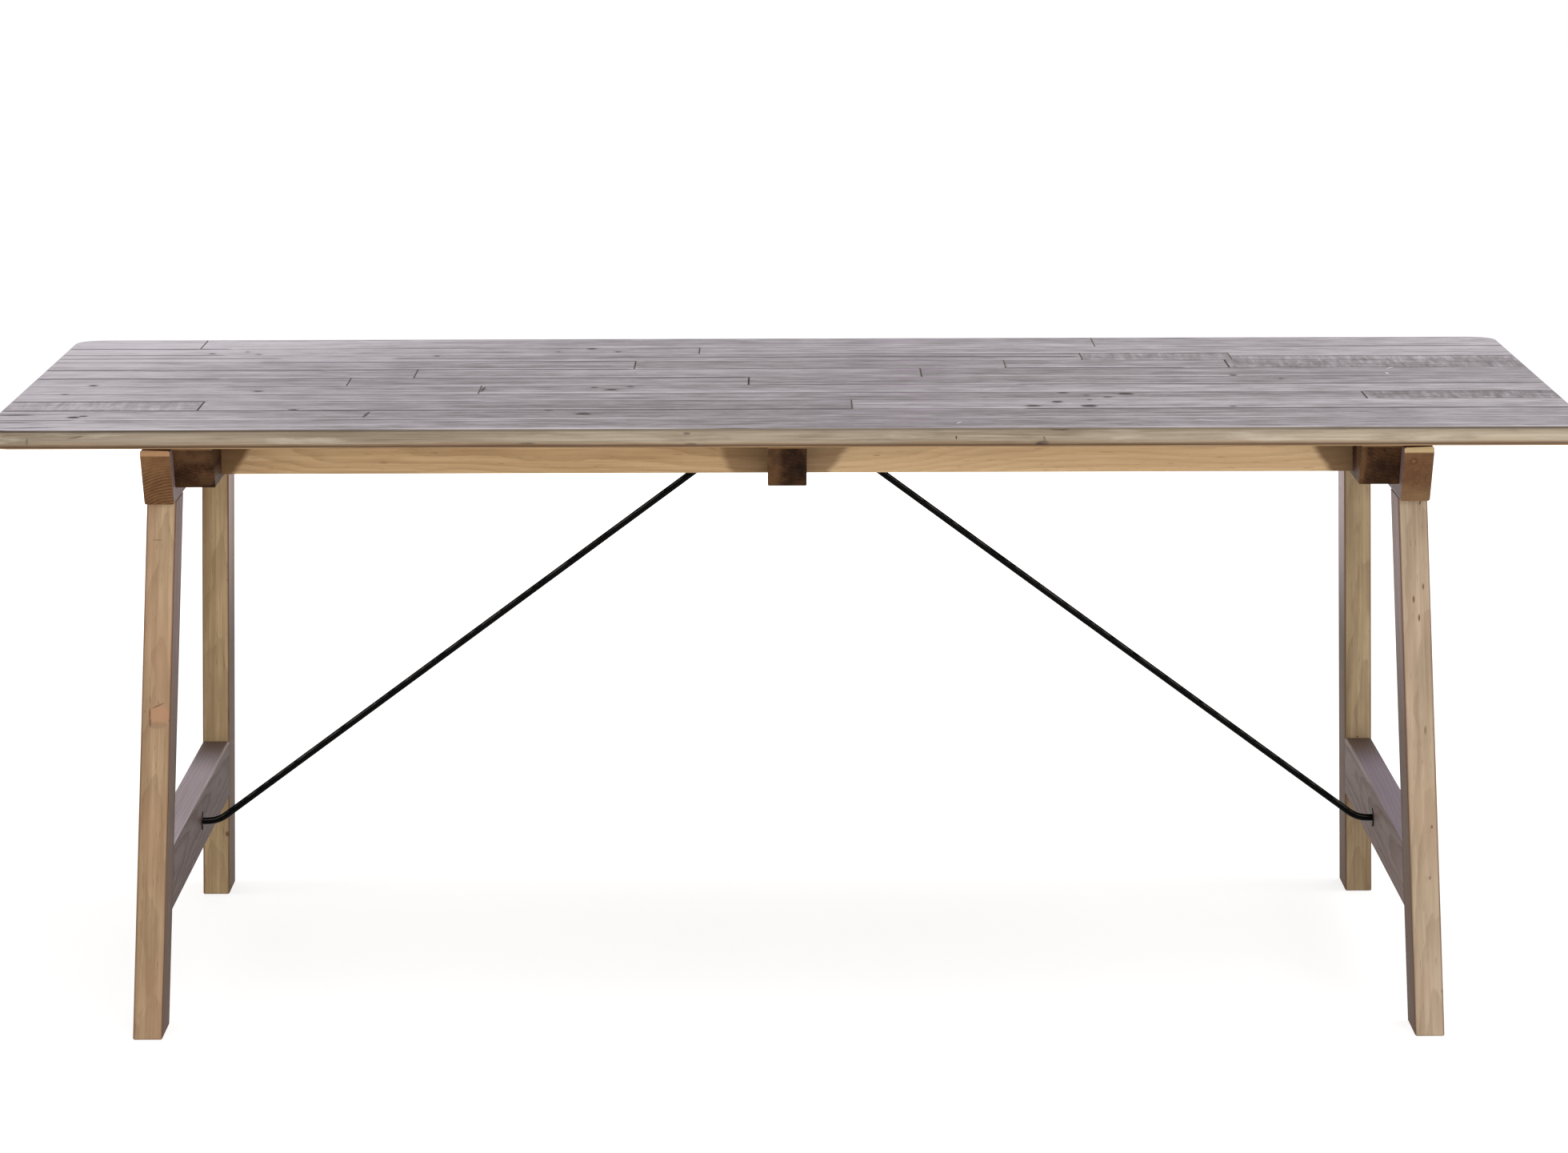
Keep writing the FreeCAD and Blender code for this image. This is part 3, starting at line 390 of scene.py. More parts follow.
# %% How sticks lie
def crosswise(middle):
    """From front to back, with the height as the depth: battens and head beams."""
    return lambda x, y, z: (y, x - middle.x, z - middle.z)


def lengthwise(middle):
    """From end to end of the table, standing on edge: rails."""
    return lambda x, y, z: (x, z - middle.z, y - middle.y)


def on_edge(middle):
    """From front to back, standing on edge: stretchers."""
    return lambda x, y, z: (y, z - middle.z, x - middle.x)


def upright(foot, slope):
    """Up from a foot, less what the stick leans at each height: legs."""
    return lambda x, y, z: (z, x - z * slope.x - foot.x, y - z * slope.y - foot.y)

# %% [markdown]
# Three more helpers serve every piece: which way is in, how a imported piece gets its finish,
# and where its middle lies.

# %% Dressing a piece
def inward(name):
    """Which way along x a piece of the left or the right looks in under the table."""
    return 1 if name.endswith("left") else -1


def dress(name, material):
    """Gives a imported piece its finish."""
    piece = nodes[name]
    if not piece.material_slots:
        piece.data.materials.append(material)
    for place in piece.material_slots:
        place.link = "OBJECT"
        place.material = material


def middle_and_half(name):
    """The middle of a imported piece, and half its size."""
    low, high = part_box(name)
    return (low + high) / 2, (high - low) / 2

# %% [markdown]
# The top is old boards, planed thin, brushed with a grey wash and oiled.  Each board has a
# finish of its own, because each came from another tree.  What makes it this table is where
# its knots are and which of its seams gape, so those places come first, in metres.

# %% Marks of the top
TOP_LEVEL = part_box("plank_01")[1].z
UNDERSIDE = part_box("plank_01")[0].z        # of the boards
# boards that the planer missed, and how plain the marks of the saw are on each
ROUGH_SAWN = {
    "plank_03_left": 0.55, "plank_04_right": 0.9, "plank_08_right": 0.9, "plank_09_middle": 0.7,
    "plank_09_right": 0.8,
}
# knots: where each one is, its radius, and how dark it is
TOP_KNOTS = [
    (-0.793, 0.328, 0.011, 0.5), (-0.746, 0.347, 0.009, 0.5), (-0.728, 0.317, 0.008, 0.5),
    (-0.690, -0.106, 0.010, 0.7), (-0.913, -0.039, 0.012, 0.6), (-0.939, -0.135, 0.009, 0.7),
    (-0.898, -0.374, 0.010, 0.9), (-0.887, -0.361, 0.008, 0.8), (-0.628, -0.302, 0.009, 0.9),
    (-0.269, 0.374, 0.010, 0.8), (-0.315, 0.336, 0.008, 0.5), (-0.232, 0.334, 0.008, 0.7),
    (-0.480, 0.292, 0.009, 0.7), (-0.252, -0.073, 0.010, 0.7), (-0.229, -0.099, 0.011, 0.9),
    (-0.205, -0.065, 0.008, 0.8), (-0.302, -0.309, 0.009, 1.0), (-0.257, -0.351, 0.012, 1.0),
    (0.359, -0.148, 0.010, 0.8), (0.388, -0.174, 0.008, 0.6), (0.414, -0.192, 0.009, 0.9),
    (0.439, -0.158, 0.013, 1.0), (0.347, -0.241, 0.009, 1.0), (0.314, -0.282, 0.011, 1.0),
    (0.385, -0.284, 0.013, 1.0), (0.595, 0.041, 0.008, 0.8), (0.655, 0.003, 0.006, 0.7),
    (0.568, -0.292, 0.008, 0.6), (0.389, -0.222, 0.005, 0.8),
]
# where the seam behind each row is open, from where to where, and how dark it is there
OPEN_SEAMS = {
    1: [(-1.00, -0.89, 0.6), (-0.89, 1.00, 0.12)],
    2: [(-1.00, -0.63, 0.9), (-0.63, 0.085, 1.4), (0.085, 0.30, 0.35), (0.30, 1.00, 1.1)],
    3: [(-1.00, -0.745, 1.1), (-0.745, 1.00, 0.2)],
    4: [(-1.00, 0.745, 0.25), (0.745, 1.00, 0.7)],
    5: [(-0.74, -0.58, 0.6), (-0.40, 0.30, 0.3), (0.30, 1.00, 0.8)],
    6: [(-1.00, -0.75, 1.0), (-0.75, -0.50, 0.5), (-0.50, -0.05, 1.2), (0.60, 1.00, 0.45)],
    7: [(-1.00, -0.62, 1.3), (-0.62, -0.205, 0.8), (-0.205, 0.29, 0.35),
        (0.29, 0.54, 1.0), (0.54, 1.00, 0.5)],
    8: [(-1.00, -0.72, 0.3), (-0.72, -0.20, 0.7), (-0.20, 1.00, 0.3)],
    9: [(-1.00, -0.69, 0.6), (-0.54, 0.40, 0.8), (0.60, 1.00, 0.6)],
    10: [(-1.00, -0.77, 0.5), (-0.10, 0.60, 0.35)],
    11: [(-1.00, -0.77, 1.0), (-0.77, 0.50, 0.25), (0.54, 1.00, 0.6)],
}
# where two boards of a row meet end to end, and how dark that line is
BUTT_JOINTS = {
    -0.749: 0.9, 0.083: 0.5, 0.747: 0.9, -0.401: 0.4, -0.579: 0.4, -0.050: 1.2,
    -0.496: 0.5, 0.180: 0.6, -0.205: 0.55, 0.296: 0.3, 0.597: 1.0, 0.404: 0.5,
    0.608: 0.4, -0.120: 0.25, -0.815: 0.15, 0.430: 0.2,
}
# scratches and cracks: the middle, the half length and half width, the turn, and how dark or
# (below 0) how light each one is
TOP_MARKS = [
    ((0.813, 0.123), (0.016, 0.002), 60, -0.8), ((0.802, 0.061), (0.012, 0.002), 95, -0.7),
    ((0.214, -0.450), (0.012, 0.002), 70, -0.6), ((0.523, -0.430), (0.020, 0.005), 150, -0.3),
    ((-0.531, -0.353), (0.040, 0.0030), 86, 0.9), ((-0.397, -0.090), (0.036, 0.0030), 87, 0.9),
    ((-0.420, -0.220), (0.045, 0.004), 0, 0.7), ((-0.945, -0.476), (0.045, 0.005), 3, 1.0),
    ((-0.976, -0.425), (0.040, 0.005), 2, 1.0), ((-0.975, -0.348), (0.034, 0.009), 0, 0.9),
    ((-0.832, -0.408), (0.070, 0.004), 2, 0.6), ((-0.870, -0.308), (0.090, 0.004), 0, 0.5),
    ((-0.507, -0.117), (0.050, 0.004), 0, 0.5), ((-0.940, -0.345), (0.060, 0.003), 0, 0.5),
    ((0.660, -0.350), (0.040, 0.003), 0, 0.35), ((0.300, -0.385), (0.030, 0.005), 20, 0.35),
]
# the same on the front edge, by length and height
EDGE_MARKS = [
    ((-0.124, 0.771), (0.006, 0.0022), 0, 0.6), ((0.315, 0.7570), (0.011, 0.0045), 8, 0.55),
    ((0.209, 0.765), (0.0012, 0.003), 0, 0.8), ((-0.322, 0.759), (0.014, 0.0014), 0, 0.4),
    ((-0.119, 0.758), (0.010, 0.0016), 0, 0.4), ((0.337, 0.7742), (0.016, 0.0012), 0, 0.6),
    ((0.318, 0.7636), (0.0016, 0.004), 20, 0.5), ((-0.940, 0.763), (0.002, 0.006), 0, 0.35),
    ((-0.880, 0.768), (0.012, 0.001), 10, 0.6),
]

# %% [markdown]
# The wash fills the open grain and leaves the hard lines darker.  It stops at the arris: the
# edges were sanded afterwards and show khaki wood.  Under the top nobody brushed anything.

# %% Colours of the top
WASH_DARK = paint(88, 81, 81)
WASH_LIGHT = paint(202, 196, 202)
WASH_PALEST = paint(219, 212, 220)
WASH_BLUSH = paint(150, 128, 152)
KHAKI = paint(178, 165, 145)
KHAKI_DARK = paint(100, 86, 68)
KHAKI_PALE = paint(196, 186, 168)
BARE = paint(196, 166, 128)
BARE_DARK = paint(140, 104, 70)
EDGE_SHADE = paint(58, 42, 30)
EDGE_BROWN = paint(140, 98, 62)
KNOT = paint(74, 64, 66)
DIRT = paint(48, 41, 39)
print("the wash is dark, light and palest; the edge is khaki; the underside is bare")

# %% [markdown]
# A seam that gapes holds dirt: a thin dark line with a faint halo, on both boards that meet
# there.  The joints at the ends of boards are thinner lines of the same kind.

# %% Dirt in the seams
SEAM_LINE = (0.0038, 0.0018)       # from clean to dark, by the distance to the seam
SEAM_HALO = (0.0095, 0.0030)
HALO_SHARE = 0.35
JOINT_LINE = (0.0019, 0.0006)
SAME_PLACE = 0.002                 # a joint and the end of a board that lie this near are one


def seam_dirt(board, row, front, back):
    """How dirty the seams before and behind a board of a row are at a place."""
    dirt = 0.0
    for seam, away in ((row - 1, board.y - front), (row, back - board.y)):
        line = away.step(*SEAM_LINE) + away.step(*SEAM_HALO) * HALO_SHARE
        for start, end, darkness in OPEN_SEAMS.get(seam, ()):
            reach = (end - start) / 2
            within = (board.x - (start + end) / 2).size().step(reach + 0.004, reach - 0.012)
            dirt = line * within * darkness + dirt
    return dirt


def joint_dirt(board, left, right):
    """How dirty the joints at the two ends of a board are at a place."""
    dirt = 0.0
    for joint, darkness in BUTT_JOINTS.items():
        if min(abs(joint - left), abs(joint - right)) < SAME_PLACE:
            dirt = (board.x - joint).size().step(*JOINT_LINE) * darkness + dirt
    return dirt

# %% [markdown]
# The brushed face is built up in the order in which it was made: clouds of thick and thin
# wash over the grain with a painted reflection, paler at the ends and along the back, strokes
# of the brush, a pink bloom, then scars and dents that hold dirt, a pale rim behind each seam
# that is a painted highlight on its arris, and last the marks of a coarse saw on the boards
# that the planer missed.

# %% The brushed face
def paler_by_painted_reflection(x, y):
    """Painted reflection: paler at both ends of the table and along its back."""
    pale = x.step(-0.35, -1.0) * 0.33 + x.step(0.5, 1.0) * 0.12 + y.step(0.1, 0.5) * 0.14
    pale = pale + x.step(-0.2, -0.9) * y.step(0.1, 0.45) * 0.16
    return pale - (x + 0.6).size().step(0.38, 0.12) * y.size().step(0.26, 0.06) * 0.08


def sawn_marks(board, face, saw, strength):
    """Short dark and pale bars across the board."""
    face = board.blend(saw.step(0.32, 0.66) * (0.6 * strength) + 0.08 * strength, face, WASH_DARK)
    face = board.blend(saw.step(0.58, 0.74) * (0.3 * strength), face, DIRT)
    return board.blend(saw.step(0.40, 0.30) * (0.2 * strength), face, WASH_PALEST)


def washed_face(board, name, tone, front):
    """The colour of a brushed side whose front edge is at `front`, and its saw marks."""
    x, y = board.x, board.y
    # clouds of thick and thin wash, a painted reflection paler at the ends and the back, and faint
    # ring lines
    smudge = board.noise(board.vector(x * 15, y * 34, 0.0), detail=5, roughness=0.7)
    cloud = (board.band - 0.5) * 0.45 + (board.broom - 0.5) * 0.3 + (board.hair - 0.5) * 0.55
    cloud = cloud + (smudge - 0.5) * 0.8 + paler_by_painted_reflection(x, y) + (0.33 + tone)
    face = board.blend(cloud.step(-0.1, 1.1), WASH_DARK, WASH_LIGHT)
    face = board.blend(board.late * 0.08, face, WASH_DARK)
    # dark and pale strokes, plainer in some patches, and the bloom
    patch = board.streaks(2.2, 10.0, 41.0, detail=2).step(0.40, 0.62)
    brush = board.streaks(3.0, 64, 31.0, detail=4)
    face = board.blend(brush.step(0.55, 0.74) * (patch * 0.45 + 0.06), face, WASH_DARK)
    face = board.blend(brush.step(0.45, 0.28) * (patch * 0.35 + 0.08), face, WASH_PALEST)
    blush = board.streaks(3.5, 26.0, 47.0, detail=3)
    face = board.blend(blush.step(0.50, 0.72) * 0.16, face, WASH_BLUSH)
    # scars and dents, then the pale rim, a painted highlight along the front arris of the board
    scars = board.streaks(8.0, 140, 21.0, detail=4)
    face = board.blend(scars.step(0.61, 0.70) * (smudge * 1.4).both(0.9), face, DIRT)
    dents = board.streaks(26, 120, 37.0, detail=2)
    face = board.blend(dents.step(0.69, 0.76) * 0.6, face, DIRT)
    rim = (y - front).step(0.018, 0.006) * brush.step(0.62, 0.42)
    face = board.blend(rim * 0.4, face, WASH_PALEST)
    if name not in ROUGH_SAWN:
        return face, 0.0
    saw = board.noise(board.vector(x * 95, y * 11, 0.0), detail=4, roughness=0.65, distortion=0.4)
    return sawn_marks(board, face, saw, ROUGH_SAWN[name]), saw


def marked(board, colour, u, v, marks, reach):
    """Adds the marks that lie on this board, whose reach is its range of u and of v."""
    ragged = board.streaks(70, 420, 9.0, detail=2) * 1.9 + 0.1
    for middle, half, turn, darkness in marks:
        if all(start < at < end for at, (start, end) in zip(middle, reach)):
            ink = DIRT if darkness > 0 else WASH_PALEST
            mark = (board.spot(u, v, middle, half, abs(darkness), turn) * ragged).both(0.95)
            colour = board.blend(mark, colour, ink)
    return colour

# %% [markdown]
# The side of the top is sanded and shows what wood lies under the wash: khaki, mottled, with
# dirt close under the upper arris, a brown band that wanders along the lower one, and painted
# shade where the lower round turns down.  All of it goes by the drop below the level of the top.

# %% The sanded edge
def sanded_edge(board, tone):
    """The side of the top: khaki, with dirt under the upper arris, and a brown band and painted shade
    along the lower one.
    """
    # clouds of khaki, ring lines and a mottle
    rub = (board.band - 0.5) * 0.8 + (board.broom - 0.5) * 0.8 + (board.hair - 0.5) * 0.5
    rub = rub + board.x * 0.13 + (0.58 + tone)
    edge = board.blend(rub.step(0.0, 1.0), KHAKI_DARK, KHAKI)
    edge = board.blend(board.late * 0.14, edge, KHAKI_DARK)
    mottle = board.noise(board.vector(board.x * 9, board.y * 9, board.z * 60), detail=4, roughness=0.6)
    edge = board.blend(mottle.step(0.52, 0.70) * 0.35, edge, KHAKI_DARK)
    edge = board.blend(mottle.step(0.46, 0.30) * 0.35, edge, KHAKI_PALE)
    # dirt under the upper arris, more of it near the ends of the table
    drop = TOP_LEVEL - board.z
    ends = board.x.step(-0.3, -0.9) + board.x.step(0.55, 0.95)
    edge = board.blend(drop.step(0.0120, 0.0010) * 0.34, edge, KHAKI_DARK)
    edge = board.blend(drop.step(0.0042, 0.0022) * (board.broom * 0.8 + ends * 0.35), edge, DIRT)
    # a wandering brown band along the lower arris, and painted shade where its round turns down
    wander = board.noise(board.vector(board.x * 6, board.y * 6, 0.0), detail=3) * 0.008 - 0.004
    edge = board.blend((drop + wander).step(0.0150, 0.0205) * 0.45, edge, EDGE_BROWN)
    return board.blend(drop.step(0.0170, 0.0230) * 0.9, edge, EDGE_SHADE)

# %% [markdown]
# A board is a Timber whose face, edge and underside are mixed by which way a place faces.
# Dirt and knots come last, because they lie over all three.  The dirt is also what sinks in
# the relief, and the saw marks stand out in it.

# %% Boards of the top
def washed_board(name, seed):
    """The finish of one board, which only its name and its seed tell from the others."""
    row = int(name.split("_")[1])
    low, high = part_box(name)
    middle = (low.y + high.y) / 2
    knots = [(x, y - middle, size, darkness) for x, y, size, darkness in TOP_KNOTS
             if low.x < x < high.x and low.y < y < high.y]
    # how the board lay in its tree, and how pale it is
    dice = random.Random(seed)
    heart = (dice.uniform(-0.05, 0.05), -dice.uniform(0.03, 0.11))
    ring = dice.uniform(0.0035, 0.0055)
    board = Timber(name, seed, lambda x, y, z: (x, y - middle, z - TOP_LEVEL), heart, ring, knots)
    tone = dice.uniform(-0.07, 0.07)
    # its face, its edge and its underside
    face, saw = washed_face(board, name, tone, low.y)
    face = marked(board, face, board.x, board.y, TOP_MARKS, ((low.x, high.x), (low.y, high.y)))
    edge = sanded_edge(board, tone)
    if row == 1:
        edge = marked(board, edge, board.x, board.z, EDGE_MARKS, ((low.x, high.x), (low.z, high.z)))
    under = board.wood(BARE_DARK, BARE, BARE_DARK, rings=0.5)
    colour = board.blend(board.up.step(0.80, 0.97), edge, face)
    colour = board.blend(board.up.step(-0.5, -0.9), colour, under)
    # dirt and knots
    dirt = seam_dirt(board, row, low.y, high.y) + joint_dirt(board, low.x, high.x)
    dirt = (dirt * (board.broom * 0.9 + 0.45)).both(0.95)
    colour = board.blend(dirt, colour, DIRT)
    if board.knot:
        colour = board.blend(board.knot.step(2.0, 1.0) * 0.25, colour, WASH_DARK)
        colour = board.blend(board.knot.step(1.25, 0.95) * 0.7, colour, KNOT)
        colour = board.blend(board.knot.step(1.0, 0.75) * 0.95, colour, DIRT)
    return board.done(colour, gloss=0.05, relief=saw * 0.9 - dirt)


planks = sorted(name for name in nodes if name.startswith("plank_") and "screws" not in name)
for seed, name in enumerate(planks):
    dress(name, washed_board(name, seed + 1))
print(len(planks), "boards washed")

# %% [markdown]
# The sticks under the top share one way of ageing: arrises get dark where hands and cloths
# leave dirt, faces fade in slow clouds, and the ring lines stand darker than the wood
# between them.  The three battens that carry the boards are softwood with a dark, blotchy
# stain, painted darker still for the shade under the top, with painted light low on their
# sides, and paler along the nib where the slope of each end begins: rubbed there, and painted
# light on the nib's upright face.

# %% Battens
# the stain is painted darker for the shade under the top
SHADED_STAIN = paint(98, 66, 42)
SHADED_STAIN_DARK = paint(26, 16, 10)
STAIN_LINE = paint(14, 8, 5)
RUBBED_STAIN = paint(102, 74, 50)
NIB = paint(140, 110, 76)
# painted light low on the sides of a batten
PAINTED_SIDE_LIGHT = paint(98, 74, 60)
BATTEN_SEED = 41
ENDS = (0.36, 0.37)        # the ends begin this far from the middle of the table
NIBS = (0.42, 0.43)        # and the nibs this far
NIB_DEPTH = 0.0095
# zones of an end: the middle and the half size across and up, and how rubbed each one is, or
# (below 0) how dark
BATTEN_ZONES = {
    "batten_left": [
        ((-0.745, 0.737), (0.034, 0.016), 0.62), ((-0.757, 0.706), (0.020, 0.016), -0.45),
        ((-0.728, 0.704), (0.016, 0.012), 0.35),
    ],
    "batten_centre": [
        ((-0.021, 0.722), (0.018, 0.060), 0.70), ((0.010, 0.720), (0.014, 0.050), -0.6),
    ],
    "batten_right": [
        ((0.718, 0.722), (0.009, 0.060), 0.85), ((0.748, 0.708), (0.022, 0.030), -0.6),
    ],
}

for seed, (name, zones) in enumerate(BATTEN_ZONES.items()):
    middle, half = middle_and_half(name)
    batten = Timber(name, BATTEN_SEED + seed, crosswise(middle), heart=(0.02, 0.055), ring=0.0045)
    # the stain, painted darker for the shade under the top
    colour = batten.wood(SHADED_STAIN_DARK, SHADED_STAIN, STAIN_LINE, rings=0.25, level=0.42)
    blotch = batten.noise(batten.vector(batten.x * 42, batten.y * 12, batten.z * 34), detail=4)
    # rubbed and dark zones of the ends
    end = batten.y.size().step(*ENDS)
    for place, reach, rubbed in zones:
        ink = RUBBED_STAIN if rubbed > 0 else SHADED_STAIN_DARK
        zone = batten.spot(batten.x, batten.z, place, reach, end) * (blotch * 1.2 + 0.3)
        colour = batten.blend((zone * abs(rubbed)).both(1.0), colour, ink)
    colour = batten.blend(blotch.step(0.50, 0.66) * 0.45, colour, SHADED_STAIN_DARK)
    # painted light low on the sides, dark arrises, and the nibs, rubbed and painted light
    side_light = batten.east.size().step(0.6, 0.95) * batten.z.step(UNDERSIDE - 0.03, UNDERSIDE - 0.05)
    colour = batten.blend(side_light * 0.4, colour, PAINTED_SIDE_LIGHT)
    colour = batten.blend(batten.arris(half.x, half.z).step(0.003, 0.0) * 0.4, colour, STAIN_LINE)
    # the nib is rubbed, and painted paler for the light on its upright face
    depth = UNDERSIDE - batten.z
    nib = depth.step(NIB_DEPTH + 0.0005, NIB_DEPTH - 0.001) * batten.y.size().step(*NIBS)
    strip = nib * depth.step(NIB_DEPTH - 0.0045, NIB_DEPTH - 0.0025)
    colour = batten.blend(nib * 0.35, colour, RUBBED_STAIN)
    dress(name, batten.done(batten.blend(strip * 0.75, colour, NIB), gloss=0.03))
print(len(BATTEN_ZONES), "battens stained")

# %% [markdown]
# The rails between the battens kept the warm honey colour of waxed pine.  Their ends,
# beside the battens, carry painted shadows of the battens, and the strip close under the
# boards is painted darker for the shade of the top.

# %% Rails
HONEY = paint(210, 181, 140)
HONEY_DARK = paint(160, 125, 84)
HONEY_LINE = paint(118, 82, 46)
# the painted shadows of the battens, and the knot of the rail
HONEY_SHADOW_AND_KNOT = paint(96, 68, 40)
PALER = paint(236, 208, 168)
RAIL_SEED = 51
TENON = 0.014              # what each end of a rail hides in its batten
# how far the painted shadow of a batten reaches from each end, under the boards and at the
# lower edge, and how dark it is: at the end batten and at the centre batten
BATTEN_SHADOWS = {
    "left": ((0.050, 0.016, 0.92), (0.074, 0.044, 0.60)),
    "right": ((0.064, 0.028, 0.84), (0.068, 0.028, 0.64)),
}
# a small knot of the left rail at the front, by length and height
RAIL_KNOT = (-0.447, 0.7325)
RAIL_KNOT_HALF = (0.0046, 0.0034)

rails = [name for name in nodes if name.startswith("rail_")]
for seed, name in enumerate(rails):
    middle, half = middle_and_half(name)
    side = name.split("_")[-1]
    outward = -inward(name)
    rail = Timber(name, RAIL_SEED + seed, lengthwise(middle), heart=(0.012, 0.034), ring=0.0046,
                  taper=0.028 * outward)
    colour = rail.wood(HONEY_DARK, HONEY, HONEY_LINE, rings=0.22, level=0.52)
    if side == "right":
        colour = rail.blend(0.24, colour, PALER)
    rise = (rail.z - middle.z) / (2 * half.z) + 0.5      # 0 at the lower edge, 1 at the upper
    # painted shadows of the battens at both ends, then painted shade on the strip under the boards
    for end, (top_reach, low_reach, darkness) in zip((outward, -outward), BATTEN_SHADOWS[side]):
        away = half.x - TENON - (rail.x - middle.x) * end
        limit = rise * (top_reach - low_reach) + low_reach + (rail.broom - 0.5) * 0.012
        colour = rail.blend((away - limit).step(0.006, -0.006) * darkness, colour, HONEY_SHADOW_AND_KNOT)
    colour = rail.blend((UNDERSIDE - rail.z).step(0.012, 0.0) * 0.5, colour, HONEY_LINE)
    colour = rail.flecks(colour, HONEY_LINE, 0.4)
    if name == "rail_front_left":
        eye = rail.spot(rail.x, rail.z, RAIL_KNOT, RAIL_KNOT_HALF)
        colour = rail.blend(eye, colour, HONEY_SHADOW_AND_KNOT)
    dress(name, rail.done(colour, gloss=0.12))
print(len(rails), "rails waxed")

# %% [markdown]
# The head beams tie each pair of legs.  Their ends are sawn on a slope under a short nib.
# The nib was rubbed pale and is painted paler for the light on its upright face, and the slope
# shows the end of the tree: arches on the left beam and one round knot on the right beam.  The
# sides that look in under the table are painted grey for their shade.

# %% Head beams
TAN_LINE = paint(72, 46, 28)
BEAM_TONES = {
    "head_beam_left": (paint(95, 65, 41), paint(131, 96, 64), paint(180, 141, 105)),
    "head_beam_right": (paint(80, 53, 35), paint(118, 85, 58), paint(196, 172, 130)),
}
SHADED_SIDE_GREY = paint(126, 110, 112)
BEAM_SEED = 61
BEAM_NIB = 0.012
# the knot of the right beam, by width and height, and the radii of its ring and its heart
END_KNOT = (0.780, 0.7276)
KNOT_RING = (0.0068, 0.0068)
KNOT_HEART = (0.0034, 0.0034)

for seed, (name, (dark, pale, rubbed)) in enumerate(BEAM_TONES.items()):
    middle, half = middle_and_half(name)
    beam = Timber(name, BEAM_SEED + seed, crosswise(middle), heart=(0.022, -0.082), ring=0.0040)
    colour = beam.wood(dark, pale, TAN_LINE, rings=0.12, level=0.5)
    # the sides that look in, painted grey for their shade
    inside = (beam.east * inward(name)).step(0.6, 0.95)
    colour = beam.blend(inside * 0.75, colour, SHADED_SIDE_GREY)
    # what shows on the slope of each end
    depth = UNDERSIDE - beam.z
    end = beam.north.size().step(0.3, 0.6)
    if name == "head_beam_left":
        colour = beam.blend(beam.late * end * depth.step(0.026, 0.044) * 0.7, colour, TAN_LINE)
    else:
        colour = beam.blend(end * depth.step(0.050, 0.075) * 0.10, colour, rubbed)
        for reach, strength, ink in ((KNOT_RING, 0.6, TAN_LINE), (KNOT_HEART, 0.8, pale)):
            eye = beam.spot(beam.x, beam.z, END_KNOT, reach, end)
            colour = beam.blend(eye * strength, colour, ink)
    # the pale nib, rubbed and painted light, and the dark arrises
    colour = beam.blend(depth.step(BEAM_NIB + 0.002, BEAM_NIB - 0.001) * end * 0.8, colour, rubbed)
    colour = beam.blend(beam.arris(half.x, half.z).step(0.003, 0.0) * 0.3, colour, TAN_LINE)
    dress(name, beam.done(colour, gloss=0.05))
print(len(BEAM_TONES), "head beams waxed")

# %% [markdown]
# Legs are paler pine, tan all round but for the face that looks in under the table, which is
# painted grey and dark for its shade, paler high up.  Their tan faces carry painted shade too,
# darker about half way up on the front pair and near the floor on the back pair.  A leg leans
# and splays, so its place is straightened first: what it leans at a height is taken off.  The
# left pair is warmer than the right, and the back pair has an olive cast.

# %% Tones and marks of the legs
PINE_LINE = paint(104, 76, 58)
ROSE = paint(170, 128, 100)
ARRIS_LINE = paint(94, 61, 46)
# each leg from dark to pale, and its blush
LEG_TONES = {
    "leg_front_left": (paint(138, 111, 84), paint(192, 166, 133), paint(170, 131, 105)),
    "leg_front_right": (paint(152, 132, 108), paint(204, 187, 164), paint(184, 156, 134)),
    "leg_back_left": (paint(136, 113, 82), paint(206, 178, 140), paint(164, 144, 110)),
    "leg_back_right": (paint(129, 109, 82), paint(191, 169, 136), paint(155, 138, 108)),
}
# the painted shade of the faces that look in, from dark to pale: near the floor, and near the top
SIDE_SHADE_LOW = (paint(42, 24, 12), paint(81, 57, 38))
SIDE_SHADE_HIGH = {
    "leg_front_left": (paint(78, 58, 53), paint(134, 111, 107)),
    "leg_front_right": (paint(114, 98, 95), paint(170, 150, 148)),
    "leg_back_left": (paint(146, 125, 118), paint(202, 177, 171)),
    "leg_back_right": (paint(162, 147, 148), paint(218, 200, 202)),
}
